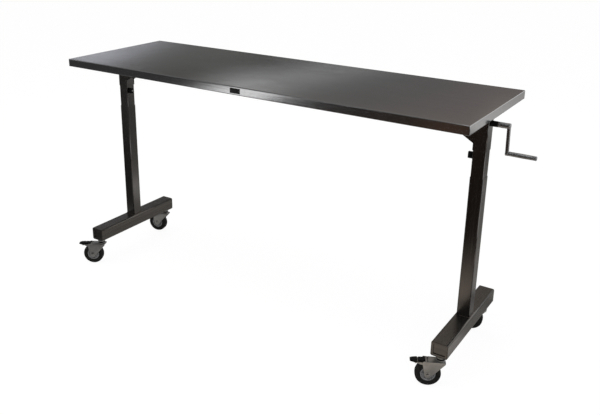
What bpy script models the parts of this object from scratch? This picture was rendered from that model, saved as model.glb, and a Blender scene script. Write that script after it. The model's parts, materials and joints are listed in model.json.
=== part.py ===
import bpy
import bmesh
from math import acos, atan2, cos, hypot, pi, radians, sin, tan
from mathutils import Matrix

for old in list(bpy.data.objects):
    bpy.data.objects.remove(old, do_unlink=True)

# Clearances
GAP = 0.0003
SLIDE_GAP = 0.0003

# Table top: one folded sheet
TOP_LENGTH = 1.830
TOP_WIDTH = 0.590
TOP_HEIGHT = 1.006
SHEET = 0.0015
RIM_DEPTH = 0.033
RIM_RETURN = 0.014
RIM_BEND = 0.0025

# Channels under the top
CHANNEL_WIDTH = 0.060
CHANNEL_DEPTH = 0.0295
CHANNEL_WALL = 0.002
CHANNEL_LENGTH_SHARE = 0.92
STIFFENER_WIDTH = 0.050
STIFFENER_DEPTH = 0.024
STIFFENER_SHARE = 0.54

# Nameplate, bare
PLATE_WIDTH = 0.046
PLATE_HEIGHT = 0.020
PLATE_THICK = 0.001

# Columns
COLUMN_INSET = 0.0503
UPPER_TUBE = 0.047
UPPER_WALL = 0.002
LOWER_WALL = 0.0012
UPPER_LENGTH = 0.590
TUBE_BEND = 0.0025

# Lift travel from the photographed height
LIFT_DOWN = 0.065
LIFT_UP = 0.240

# Top brackets
BRACKET_DROP = 0.165
BRACKET_PLATE = 0.004
BRACKET_PLATE_WIDTH = 0.100
GUSSET_TIP_DROP = 0.139
GUSSET_END_DROP = 0.081
GUSSET_REACH = 0.0975

# Travel stops
STOP_DROP = 0.176
STOP_HEIGHT = 0.024
STOP_REACH = 0.0195
STOP_THICK = 0.012
STOP_OFFSET = -0.008

# Feet
FOOT_LENGTH = 0.500
FOOT_WIDTH = 0.064
FOOT_HEIGHT = 0.058
FOOT_WALL = 0.0025
FOOT_BEND = 0.005
CAP_DEPTH = 0.010
CAP_BORDER = 0.006
CAP_RECESS = 0.004

# Drive shaft, mitre gears and lift screws
SHAFT_DROP = 0.064
SHAFT_RADIUS = 0.0055
GEAR_CLEAR = 0.0035
GEAR_FACE = 0.005
GEAR_HUB_LENGTH = 0.004
GEAR_HUB_WALL = 0.0032
GEAR_TEETH = 12
GEAR_ADDENDUM = radians(4.0)
GEAR_DEDENDUM = radians(7.0)
SPIGOT_RADIUS = 0.004
JOURNAL_RADIUS = 0.006
SCREW_RADIUS = 0.008
SCREW_LENGTH = 0.462
BEARING_HEIGHT = 0.020
NUT_DROP = 0.286
NUT_HEIGHT = 0.030
NUT_RADIUS = 0.016
NUT_TUBE_RADIUS = 0.014
NUT_TUBE_WALL = 0.002
BUSH_RADIUS = 0.008
END_FLANGE_RADIUS = 0.011
END_FLANGE_THICK = 0.0045
HANGER_WIDTH = 0.040
HANGER_THICK = 0.006
HANGER_BELOW = 0.014

# Crank
CRANK_BEARING_RADIUS = 0.0104
CRANK_BEARING_LENGTH = 0.0245
CRANK_HUB_RADIUS = 0.010
CRANK_HUB_LENGTH = 0.0425
CRANK_ARM_THICK = 0.010
CRANK_ARM_WIDTH = 0.014
CRANK_THROW = 0.101
CRANK_LEAN = radians(5.0)
GRIP_RADIUS = 0.00825
GRIP_LENGTH = 0.0935
GRIP_PIN_RADIUS = 0.0045
GRIP_HEAD = 0.003

# Casters
CASTER_INSET = 0.0235
CASTER_TRAIL = 0.0425
CASTER_ANGLES = {
    "front_left": radians(209.0),
    "front_right": radians(207.0),
    "rear_left": radians(194.0),
    "rear_right": radians(191.0),
}
WHEEL_RADIUS = 0.0475
WHEEL_WIDTH = 0.029
WHEEL_SIDES = 30
TYRE_DEPTH = 0.0195
HUB_RIM = 0.0042
HUB_BOSS_RADIUS = 0.0125
HUB_WEB_HALF = 0.006
STEM_RADIUS = 0.006
STEM_RISE = 0.019
RACE_RADIUS = 0.017
RACE_HEIGHT = 0.0105
KING_RADIUS = 0.005
KING_HEAD_RADIUS = 0.008
KING_HEAD_HEIGHT = 0.0037
RACE_STEP = 0.0124
CROWN_CLEAR = 0.0035
CROWN_THICK = 0.004
CROWN_FRONT = -0.0175
CROWN_BACK = 0.036
FORK_CLEAR = 0.0023
FORK_WALL = 0.003
LEG_BEHIND = 0.022
LEG_BOSS_RADIUS = 0.0125
AXLE_RADIUS = 0.004
AXLE_HEAD_RADIUS = 0.0075
AXLE_HEAD = 0.0045

# Brake pedals
PEDAL_BEHIND = 0.006
PEDAL_RISE = 0.0002
PEDAL_LENGTH = 0.062
PEDAL_PIN_RADIUS = 0.002

# Derived places
CROWN_UNDER = 2 * WHEEL_RADIUS + CROWN_CLEAR
CROWN_TOP = CROWN_UNDER + CROWN_THICK
CASTER_HEIGHT = CROWN_TOP + RACE_STEP + GAP + RACE_HEIGHT + GAP
HUB_RADIUS = WHEEL_RADIUS - TYRE_DEPTH
LEG_BACK = CASTER_TRAIL + LEG_BEHIND
PEDAL_PIVOT_TRAIL = CASTER_TRAIL + PEDAL_BEHIND
PEDAL_PIVOT_HEIGHT = CROWN_UNDER + PEDAL_RISE
GEAR_FRONT = SHAFT_RADIUS + GEAR_CLEAR
GEAR_BACK = GEAR_FRONT + GEAR_FACE
GEAR_HUB_END = GEAR_BACK + GEAR_HUB_LENGTH
GEAR_HUB_RADIUS = SHAFT_RADIUS + GAP + GEAR_HUB_WALL
COLUMN_X = TOP_LENGTH / 2 - COLUMN_INSET
LOWER_BORE = UPPER_TUBE + 2 * SLIDE_GAP
LOWER_TUBE = LOWER_BORE + 2 * LOWER_WALL
FOOT_TOP = CASTER_HEIGHT + FOOT_HEIGHT
UNDERSIDE = TOP_HEIGHT - SHEET
CHANNEL_TOP = UNDERSIDE - GAP
BRACKET_TOP = CHANNEL_TOP - CHANNEL_DEPTH - GAP
BRACKET_UNDER = BRACKET_TOP - BRACKET_PLATE
UPPER_TOP = BRACKET_UNDER - GAP
UPPER_BOTTOM = UPPER_TOP - UPPER_LENGTH
SHAFT_Z = TOP_HEIGHT - SHAFT_DROP
STOP_BOTTOM = TOP_HEIGHT - STOP_DROP - STOP_HEIGHT
LOWER_TOP = STOP_BOTTOM - LIFT_DOWN - GAP
BEARING_TOP = SHAFT_Z - GEAR_HUB_END - GAP
BEARING_BOTTOM = BEARING_TOP - BEARING_HEIGHT
SCREW_TOP = BEARING_BOTTOM - GAP
NUT_TOP = TOP_HEIGHT - NUT_DROP
FACE_OUT = LOWER_TUBE / 2
CRANK_HUB_START = FACE_OUT + GAP + CRANK_BEARING_LENGTH + GAP
CRANK_OUT = CRANK_HUB_START + CRANK_HUB_LENGTH
GRIP_START = CRANK_OUT + GAP
GRIP_END = GRIP_START + GRIP_LENGTH
CRANK_REACH = GRIP_END + GAP + GRIP_HEAD
STEM_Y = FOOT_LENGTH / 2 - CASTER_INSET
FORK_IN = WHEEL_WIDTH / 2 + FORK_CLEAR
FORK_OUT = FORK_IN + FORK_WALL
RACE_UNDER = CASTER_HEIGHT - GAP - RACE_HEIGHT
PEDAL_TIP = PEDAL_PIVOT_TRAIL + PEDAL_LENGTH
PEDAL_HALF = FORK_IN - GAP
LEFT_TURN = CASTER_ANGLES["front_left"]
LEFT_REACH = COLUMN_X + PEDAL_TIP * abs(cos(LEFT_TURN)) + PEDAL_HALF * abs(sin(LEFT_TURN))
RIGHT_REACH = COLUMN_X + CRANK_REACH
TABLE_X = (LEFT_REACH - RIGHT_REACH) / 2

parts = bpy.data.collections.new("adjustable_instrument_table")
tools = bpy.data.collections.new("cutters")
bpy.context.scene.collection.children.link(parts)
bpy.context.scene.collection.children.link(tools)


def finish(name, colour, roughness, metallic):
    made = bpy.data.materials.new(name)
    made.use_nodes = True
    shader = made.node_tree.nodes["Principled BSDF"]
    shader.inputs["Base Color"].default_value = (*colour, 1.0)
    shader.inputs["Roughness"].default_value = roughness
    shader.inputs["Metallic"].default_value = metallic
    made.diffuse_color = (*colour, 1.0)
    return made


SHEET_STEEL = finish("polished_sheet_steel", (0.56, 0.57, 0.58), 0.28, 1.0)
TUBE_STEEL = finish("satin_tube_steel", (0.42, 0.41, 0.40), 0.36, 1.0)
PLATED_STEEL = finish("plated_steel", (0.62, 0.62, 0.61), 0.32, 1.0)
DARK_STEEL = finish("oiled_machine_steel", (0.25, 0.25, 0.26), 0.40, 1.0)
BRONZE = finish("nut_bronze", (0.52, 0.36, 0.18), 0.40, 1.0)
BLACK_PLASTIC = finish("black_plastic", (0.012, 0.012, 0.013), 0.45, 0.0)
GREY_PLASTIC = finish("grey_hub_plastic", (0.35, 0.35, 0.36), 0.50, 0.0)
RUBBER = finish("black_tyre_rubber", (0.015, 0.015, 0.016), 0.75, 0.0)


def mesh_from(shape, name):
    bmesh.ops.recalc_face_normals(shape, faces=shape.faces[:])
    if shape.calc_volume(signed=True) < 0.0:
        bmesh.ops.reverse_faces(shape, faces=shape.faces[:])
    made = bpy.data.meshes.new(name)
    shape.to_mesh(made)
    shape.free()
    made.shade_smooth()
    made.set_sharp_from_angle(angle=radians(35.0))
    return made


def block(low, high, bend=0.0, along=None, segments=3):
    shape = bmesh.new()
    bmesh.ops.create_cube(shape, size=1.0)
    for vert in shape.verts:
        for axis in range(3):
            vert.co[axis] = low[axis] if vert.co[axis] < 0 else high[axis]
    if bend > 0.0:
        edges = []
        for edge in shape.edges:
            run = edge.verts[1].co - edge.verts[0].co
            if along is None or abs(run[along]) > 0.999 * run.length:
                edges.append(edge)
        bmesh.ops.bevel(shape, geom=edges, offset=bend, segments=segments, profile=0.5,
                        affect="EDGES", clamp_overlap=True)
    return mesh_from(shape, "block")


def rod(radius, start, end, axis="Z", centre=(0.0, 0.0), sides=20):
    shape = bmesh.new()
    bmesh.ops.create_cone(shape, cap_ends=True, segments=sides, radius1=radius, radius2=radius,
                          depth=end - start)
    middle = (start + end) / 2
    if axis == "X":
        turn = Matrix.Rotation(pi / 2, 4, "Y")
        place = (middle, centre[0], centre[1])
    elif axis == "Y":
        turn = Matrix.Rotation(-pi / 2, 4, "X")
        place = (centre[0], middle, centre[1])
    else:
        turn = Matrix.Identity(4)
        place = (centre[0], centre[1], middle)
    shape.transform(Matrix.Translation(place) @ turn)
    return mesh_from(shape, "rod")


def slab(points, low, high):
    flat = bpy.data.curves.new("outline", "CURVE")
    flat.dimensions = "2D"
    flat.fill_mode = "BOTH"
    flat.extrude = (high - low) / 2
    line = flat.splines.new("POLY")
    line.points.add(len(points) - 1)
    for place, point in zip(line.points, points):
        place.co = (point[0], point[1], 0.0, 1.0)
    line.use_cyclic_u = True
    holder = bpy.data.objects.new("outline", flat)
    tools.objects.link(holder)
    bpy.context.view_layer.update()
    seen = holder.evaluated_get(bpy.context.evaluated_depsgraph_get())
    rough = bpy.data.meshes.new_from_object(seen)
    shape = bmesh.new()
    shape.from_mesh(rough)
    bmesh.ops.remove_doubles(shape, verts=shape.verts[:], dist=1e-6)
    stand = Matrix.Rotation(pi / 2, 4, "X")
    shape.transform(Matrix.Translation((0.0, (low + high) / 2, 0.0)) @ stand)
    bpy.data.objects.remove(holder, do_unlink=True)
    bpy.data.meshes.remove(rough)
    bpy.data.curves.remove(flat)
    return mesh_from(shape, "slab")


def add(name, mesh, surface, location=(0.0, 0.0, 0.0), rotation=(0.0, 0.0, 0.0), parent=None):
    made = bpy.data.objects.new(name, mesh)
    mesh.name = name
    mesh.materials.append(surface)
    made.location = location
    made.rotation_euler = rotation
    made.parent = parent
    parts.objects.link(made)
    return made


def turned(name, profile, surface, sides=20, ring=False, **place):
    line = bpy.data.meshes.new(name)
    count = len(profile)
    edges = [(i, i + 1) for i in range(count - 1)]
    if ring:
        edges.append((count - 1, 0))
    line.from_pydata([(radius, 0.0, z) for radius, z in profile], edges, [])
    made = add(name, line, surface, **place)
    spin = made.modifiers.new("turn", "SCREW")
    spin.axis = "Z"
    spin.angle = 2 * pi
    spin.steps = sides
    spin.render_steps = sides
    spin.use_merge_vertices = True
    spin.merge_threshold = 1e-5
    spin.use_smooth_shade = False
    return made


def shape_by(made, tool, operation):
    count = len(made.modifiers) + 1
    cutter = bpy.data.objects.new(f"{made.name}_tool_{count}", tool)
    cutter.parent = made
    cutter.hide_render = True
    cutter.display_type = "WIRE"
    tools.objects.link(cutter)
    step = made.modifiers.new(f"{operation.lower()}_{count}", "BOOLEAN")
    step.operation = operation
    step.solver = "EXACT"
    step.object = cutter


def cut(made, tool):
    shape_by(made, tool, "DIFFERENCE")


def weld(made, tool):
    shape_by(made, tool, "UNION")


def frame(name, location, turn=0.0, parent=None):
    made = bpy.data.objects.new(name, None)
    made.empty_display_size = 0.02
    made.location = location
    made.rotation_euler = (0.0, 0.0, turn)
    made.parent = parent
    parts.objects.link(made)
    return made


def tangent(point, centre, radius, side):
    across = point[0] - centre[0]
    up = point[1] - centre[1]
    turn = atan2(up, across) + side * acos(radius / hypot(across, up))
    return turn


# Table top with folded rim and return flange
def top_sheet():
    shape = bmesh.new()
    bmesh.ops.create_cube(shape, size=1.0)
    bmesh.ops.scale(shape, vec=(TOP_LENGTH, TOP_WIDTH, RIM_DEPTH), verts=shape.verts[:])
    bmesh.ops.translate(shape, vec=(0.0, 0.0, -RIM_DEPTH / 2), verts=shape.verts[:])
    shape.normal_update()
    under = [face for face in shape.faces if face.normal.z < -0.99]
    bmesh.ops.inset_region(shape, faces=under, thickness=RIM_RETURN, use_even_offset=True)
    bmesh.ops.delete(shape, geom=under, context="FACES")
    folds = [edge for edge in shape.edges if min(v.co.z for v in edge.verts) > -1e-6]
    bmesh.ops.bevel(shape, geom=folds, offset=RIM_BEND, segments=2, profile=0.5,
                    affect="EDGES", clamp_overlap=True)
    made = bpy.data.meshes.new("top_sheet")
    shape.to_mesh(made)
    shape.free()
    made.shade_smooth()
    made.set_sharp_from_angle(angle=radians(35.0))
    return made


table_top = add("table_top", top_sheet(), SHEET_STEEL, location=(TABLE_X, 0.0, TOP_HEIGHT))
folded = table_top.modifiers.new("sheet", "SOLIDIFY")
folded.thickness = SHEET
folded.offset = -1.0
folded.use_even_offset = True

# Bare nameplate on the front edge
PLATE_Y = -TOP_WIDTH / 2 - GAP
PLATE_Z = TOP_HEIGHT - RIM_DEPTH / 2
add("nameplate", block((-PLATE_WIDTH / 2, -PLATE_THICK, -PLATE_HEIGHT / 2),
                       (PLATE_WIDTH / 2, 0.0, PLATE_HEIGHT / 2)),
    BLACK_PLASTIC, location=(TABLE_X, PLATE_Y, PLATE_Z))

# Stiffeners along the top
STIFF_HALF = COLUMN_X - CHANNEL_WIDTH / 2 - GAP
for name, side in (("front_stiffener", -1), ("rear_stiffener", 1)):
    stiff_y = side * STIFFENER_SHARE * TOP_WIDTH / 2
    half = STIFFENER_WIDTH / 2
    made = add(name, block((-STIFF_HALF, -half, -STIFFENER_DEPTH), (STIFF_HALF, half, 0.0)),
               TUBE_STEEL, location=(TABLE_X, stiff_y, CHANNEL_TOP))
    inner = half - CHANNEL_WALL
    cut(made, block((-TOP_LENGTH, -inner, CHANNEL_WALL - STIFFENER_DEPTH),
                    (TOP_LENGTH, inner, STIFFENER_DEPTH)))


# Mitre gear: apex at the origin, body along minus Z
def gear_slots(first):
    every = bmesh.new()
    pitch = 2 * pi / GEAR_TEETH
    bottom = tan(pi / 4 - GEAR_DEDENDUM)
    top = tan(pi / 4 + 2 * GEAR_ADDENDUM)
    bottom_half = 0.22 * pitch
    top_half = 0.42 * pitch
    for number in range(GEAR_TEETH):
        slot = bmesh.new()
        bmesh.ops.create_cube(slot, size=2.0)
        for vert in slot.verts:
            along = 0.8 * GEAR_FRONT if vert.co.z > 0 else 1.15 * GEAR_BACK
            reach = along * (bottom if vert.co.x < 0 else top)
            half = bottom_half if vert.co.x < 0 else top_half
            turn = first + number * pitch + (half if vert.co.y > 0 else -half)
            vert.co = (reach * cos(turn), reach * sin(turn), -along)
        bmesh.ops.recalc_face_normals(slot, faces=slot.faces[:])
        if slot.calc_volume(signed=True) < 0.0:
            bmesh.ops.reverse_faces(slot, faces=slot.faces[:])
        single = bpy.data.meshes.new("slot")
        slot.to_mesh(single)
        slot.free()
        every.from_mesh(single)
        bpy.data.meshes.remove(single)
    made = bpy.data.meshes.new("gear_slots")
    every.to_mesh(made)
    every.free()
    return made


def gear(name, bore, first, **place):
    slope = tan(pi / 4 + GEAR_ADDENDUM)
    profile = [
        (slope * GEAR_FRONT, -GEAR_FRONT),
        (slope * GEAR_BACK, -GEAR_BACK),
        (GEAR_HUB_RADIUS, -GEAR_BACK),
        (GEAR_HUB_RADIUS, -GEAR_HUB_END),
        (bore, -GEAR_HUB_END),
        (bore, -GEAR_FRONT),
    ]
    made = turned(name, profile, DARK_STEEL, sides=24, ring=True, **place)
    cut(made, gear_slots(first))
    return made


# Legs
for side_name, side in (("left", -1), ("right", 1)):
    leg_x = TABLE_X + side * COLUMN_X
    leg = (leg_x, 0.0, 0.0)
    inward = -side

    half = FOOT_WIDTH / 2
    foot = add(f"{side_name}_foot", block((-half, -FOOT_LENGTH / 2, CASTER_HEIGHT),
                                          (half, FOOT_LENGTH / 2, FOOT_TOP), FOOT_BEND, 1),
               TUBE_STEEL, location=leg)
    inner = half - FOOT_WALL
    cut(foot, block((-inner, -FOOT_LENGTH, CASTER_HEIGHT + FOOT_WALL),
                    (inner, FOOT_LENGTH, FOOT_TOP - FOOT_WALL), FOOT_BEND - FOOT_WALL, 1))
    for end in (-1, 1):
        cut(foot, rod(STEM_RADIUS + GAP, CASTER_HEIGHT - 0.01, CASTER_HEIGHT + FOOT_WALL + 0.005,
                      "Z", (0.0, end * STEM_Y)))
    for end_name, end in (("front", -1), ("rear", 1)):
        cap_half = inner - GAP
        cap_low = CASTER_HEIGHT + FOOT_WALL + GAP
        cap_high = FOOT_TOP - FOOT_WALL - GAP
        cap = add(f"{side_name}_{end_name}_foot_cap",
                  block((-cap_half, -CAP_DEPTH, cap_low), (cap_half, 0.0, cap_high), FOOT_BEND - FOOT_WALL, 1),
                  TUBE_STEEL, location=(leg_x, end * FOOT_LENGTH / 2, 0.0),
                  rotation=(0.0, 0.0, 0.0 if end > 0 else pi))
        sunk = cap_half - CAP_BORDER
        cut(cap, block((-sunk, -CAP_RECESS, cap_low + CAP_BORDER), (sunk, CAP_DEPTH, cap_high - CAP_BORDER)))

    half = LOWER_TUBE / 2
    lower = add(f"{side_name}_lower_column", block((-half, -half, FOOT_TOP + GAP),
                                                   (half, half, LOWER_TOP), TUBE_BEND, 2),
                TUBE_STEEL, location=leg)
    inner = LOWER_BORE / 2
    cut(lower, block((-inner, -inner, FOOT_TOP - 0.1), (inner, inner, TOP_HEIGHT), TUBE_BEND / 2, 2))

    thread = SCREW_RADIUS + GAP
    bore = NUT_TUBE_RADIUS - NUT_TUBE_WALL
    nut_low = NUT_TOP - NUT_HEIGHT
    turned(f"{side_name}_nut_tube", [
        (NUT_RADIUS, NUT_TOP),
        (NUT_RADIUS, nut_low),
        (NUT_TUBE_RADIUS, nut_low),
        (NUT_TUBE_RADIUS, FOOT_TOP + GAP),
        (bore, FOOT_TOP + GAP),
        (bore, nut_low - 0.004),
        (thread, nut_low - 0.004),
        (thread, NUT_TOP),
    ], BRONZE, sides=18, ring=True, location=leg)

    half = UPPER_TUBE / 2
    upper = add(f"{side_name}_upper_column", block((-half, -half, UPPER_BOTTOM), (half, half, UPPER_TOP),
                                                   TUBE_BEND, 2),
                TUBE_STEEL, location=leg)
    inner = half - UPPER_WALL
    cut(upper, block((-inner, -inner, 0.0), (inner, inner, 2 * TOP_HEIGHT)))
    bush_hole = BUSH_RADIUS + GAP
    shaft_hole = SHAFT_RADIUS + 2 * GAP
    outer_side = sorted((0.0, side * 0.05))
    inner_side = sorted((0.0, inward * 0.05))
    cut(upper, rod(bush_hole, *outer_side, "X", (0.0, SHAFT_Z)))
    cut(upper, rod(shaft_hole, *inner_side, "X", (0.0, SHAFT_Z)))

    # Bracket: folded cheeks, closed on the outer side, under a flat plate
    drop = TOP_HEIGHT
    cheek = [
        (side * FACE_OUT, drop - BRACKET_DROP),
        (inward * FACE_OUT, drop - BRACKET_DROP),
        (inward * FACE_OUT, drop - GUSSET_TIP_DROP),
        (inward * (FACE_OUT + GUSSET_REACH), drop - GUSSET_END_DROP),
        (inward * (FACE_OUT + GUSSET_REACH), BRACKET_UNDER + BRACKET_PLATE / 4),
        (side * FACE_OUT, BRACKET_UNDER + BRACKET_PLATE / 4),
    ]
    bracket = add(f"{side_name}_top_bracket", slab(cheek, -FACE_OUT, FACE_OUT), TUBE_STEEL, location=leg)
    room = LOWER_BORE / 2
    low_x, high_x = sorted((side * room, inward * (FACE_OUT + 2 * GUSSET_REACH)))
    cut(bracket, block((low_x, -room, 0.0), (high_x, room, BRACKET_UNDER)))
    low_x, high_x = sorted((side * (FACE_OUT + 0.004), inward * (FACE_OUT + GUSSET_REACH + 0.006)))
    flange = BRACKET_PLATE_WIDTH / 2
    weld(bracket, block((low_x, -flange, BRACKET_UNDER), (high_x, flange, BRACKET_TOP)))
    cut(bracket, rod(bush_hole, *outer_side, "X", (0.0, SHAFT_Z)))

    # Cross channel above the bracket
    half = CHANNEL_WIDTH / 2
    reach = CHANNEL_LENGTH_SHARE * TOP_WIDTH / 2
    channel = add(f"{side_name}_cross_channel", block((-half, -reach, -CHANNEL_DEPTH), (half, reach, 0.0)),
                  TUBE_STEEL, location=(leg_x, 0.0, CHANNEL_TOP))
    inner = half - CHANNEL_WALL
    cut(channel, block((-inner, -TOP_WIDTH, CHANNEL_WALL - CHANNEL_DEPTH), (inner, TOP_WIDTH, 0.1)))

    # Travel stop on the inner face of the upper column
    low_x, high_x = sorted((inward * (UPPER_TUBE / 2 + GAP), inward * (UPPER_TUBE / 2 + GAP + STOP_REACH)))
    stop_low = (low_x, STOP_OFFSET - STOP_THICK / 2, STOP_BOTTOM)
    stop_high = (high_x, STOP_OFFSET + STOP_THICK / 2, STOP_BOTTOM + STOP_HEIGHT)
    add(f"{side_name}_travel_stop", block(stop_low, stop_high, 0.0015), BLACK_PLASTIC, location=leg)

    # Bearing block, screw and gear in the upper column
    half = UPPER_TUBE / 2 - UPPER_WALL - GAP
    bearing = add(f"{side_name}_screw_bearing", block((-half, -half, BEARING_BOTTOM), (half, half, BEARING_TOP)),
                  DARK_STEEL, location=leg)
    cut(bearing, rod(JOURNAL_RADIUS + GAP, BEARING_BOTTOM - 0.01, BEARING_TOP + 0.01))

    spindle = frame(f"{side_name}_screw_axis", (leg_x, 0.0, SHAFT_Z))
    spigot_top = -GEAR_FRONT - 0.0005
    turned(f"{side_name}_lift_screw", [
        (0.0, spigot_top),
        (SPIGOT_RADIUS, spigot_top),
        (SPIGOT_RADIUS, BEARING_TOP - SHAFT_Z),
        (JOURNAL_RADIUS, BEARING_TOP - SHAFT_Z),
        (JOURNAL_RADIUS, SCREW_TOP - SHAFT_Z),
        (SCREW_RADIUS, SCREW_TOP - SHAFT_Z),
        (SCREW_RADIUS, SCREW_TOP - SHAFT_Z - SCREW_LENGTH),
        (0.0, SCREW_TOP - SHAFT_Z - SCREW_LENGTH),
    ], DARK_STEEL, sides=18, parent=spindle)
    gear(f"{side_name}_screw_gear", SPIGOT_RADIUS + GAP, 0.0, parent=spindle)


# Crank, drive shaft and pinions turn together
crank_axis = frame("crank_axis", (TABLE_X + COLUMN_X, 0.0, SHAFT_Z))
left_end = -2 * COLUMN_X - FACE_OUT - GAP - END_FLANGE_THICK / 2
shaft_end = CRANK_OUT - CRANK_ARM_THICK
add("drive_shaft", rod(SHAFT_RADIUS, left_end + GAP, shaft_end - GAP, "X"), PLATED_STEEL, parent=crank_axis)
half_pitch = pi / GEAR_TEETH
for name, gear_x in (("right_drive_pinion", 0.0), ("left_drive_pinion", -2 * COLUMN_X)):
    gear(name, SHAFT_RADIUS + GAP, half_pitch, location=(gear_x, 0.0, 0.0),
         rotation=(0.0, pi / 2, 0.0), parent=crank_axis)

handle = add("crank_handle", rod(CRANK_HUB_RADIUS, CRANK_HUB_START, CRANK_OUT, "X", sides=24),
             PLATED_STEEL, rotation=(CRANK_LEAN, 0.0, 0.0), parent=crank_axis)
arm_in = CRANK_OUT - CRANK_ARM_THICK
weld(handle, block((arm_in, -CRANK_ARM_WIDTH / 2, -CRANK_THROW),
                   (CRANK_OUT - GAP, CRANK_ARM_WIDTH / 2, 0.0)))
weld(handle, rod(GRIP_RADIUS, arm_in - GAP, CRANK_OUT, "X", (0.0, -CRANK_THROW), 24))
weld(handle, rod(GRIP_PIN_RADIUS, arm_in + 0.002, GRIP_END + 0.001, "X", (0.0, -CRANK_THROW), 16))
weld(handle, rod(GRIP_RADIUS, GRIP_END + GAP, CRANK_REACH, "X", (0.0, -CRANK_THROW), 24))
cut(handle, rod(SHAFT_RADIUS + GAP, CRANK_HUB_START - 0.01, shaft_end, "X"))

grip_place = (GRIP_START, CRANK_THROW * sin(CRANK_LEAN), -CRANK_THROW * cos(CRANK_LEAN))
grip_axis = frame("grip_axis", grip_place, parent=crank_axis)
grip_bore = GRIP_PIN_RADIUS + GAP
turned("crank_grip", [
    (grip_bore, GRIP_LENGTH),
    (GRIP_RADIUS - 0.001, GRIP_LENGTH),
    (GRIP_RADIUS, GRIP_LENGTH - 0.001),
    (GRIP_RADIUS, 0.001),
    (GRIP_RADIUS - 0.001, 0.0),
    (grip_bore, 0.0),
], PLATED_STEEL, sides=24, ring=True, rotation=(0.0, pi / 2, 0.0), parent=grip_axis)

# Bearings of the drive shaft
shaft_bore = SHAFT_RADIUS + GAP
wall_in = UPPER_TUBE / 2 - UPPER_WALL
collar_start = FACE_OUT + GAP
turned("crank_bearing", [
    (shaft_bore, collar_start + CRANK_BEARING_LENGTH),
    (CRANK_BEARING_RADIUS, collar_start + CRANK_BEARING_LENGTH),
    (CRANK_BEARING_RADIUS, collar_start),
    (BUSH_RADIUS, collar_start),
    (BUSH_RADIUS, wall_in),
    (shaft_bore, wall_in),
], BLACK_PLASTIC, sides=24, ring=True, location=(TABLE_X + COLUMN_X, 0.0, SHAFT_Z),
    rotation=(0.0, pi / 2, 0.0))

blind = -left_end - 2 * COLUMN_X
turned("shaft_end_bearing", [
    (0.0, collar_start + END_FLANGE_THICK),
    (END_FLANGE_RADIUS, collar_start + END_FLANGE_THICK),
    (END_FLANGE_RADIUS, collar_start),
    (BUSH_RADIUS, collar_start),
    (BUSH_RADIUS, wall_in),
    (shaft_bore, wall_in),
    (shaft_bore, blind),
    (0.0, blind),
], BLACK_PLASTIC, sides=24, location=(TABLE_X - COLUMN_X, 0.0, SHAFT_Z), rotation=(0.0, -pi / 2, 0.0))

half = HANGER_WIDTH / 2
hanger = add("shaft_hanger", block((-HANGER_THICK / 2, -half, SHAFT_Z - HANGER_BELOW),
                                   (HANGER_THICK / 2, half, CHANNEL_TOP)),
             TUBE_STEEL, location=(TABLE_X, 0.0, 0.0))
cut(hanger, rod(shaft_bore, -0.05, 0.05, "X", (0.0, SHAFT_Z)))


# Fork seen from the side: a broad plate that narrows to the axle boss
def fork_outline():
    axle = (CASTER_TRAIL, WHEEL_RADIUS)
    front = (CROWN_FRONT, CROWN_UNDER)
    back = (LEG_BACK, CROWN_TOP - 0.010)
    first = tangent(front, axle, LEG_BOSS_RADIUS, 1) % (2 * pi)
    last = tangent(back, axle, LEG_BOSS_RADIUS, -1) % (2 * pi)
    points = [(LEG_BACK - 0.004, CROWN_TOP), (CROWN_FRONT, CROWN_TOP), front]
    count = 9
    for number in range(count):
        turn = first + (last - first) * number / (count - 1)
        points.append((axle[0] + LEG_BOSS_RADIUS * cos(turn), axle[1] + LEG_BOSS_RADIUS * sin(turn)))
    points.append(back)
    points.append((LEG_BACK, CROWN_TOP - 0.004))
    return points


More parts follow.
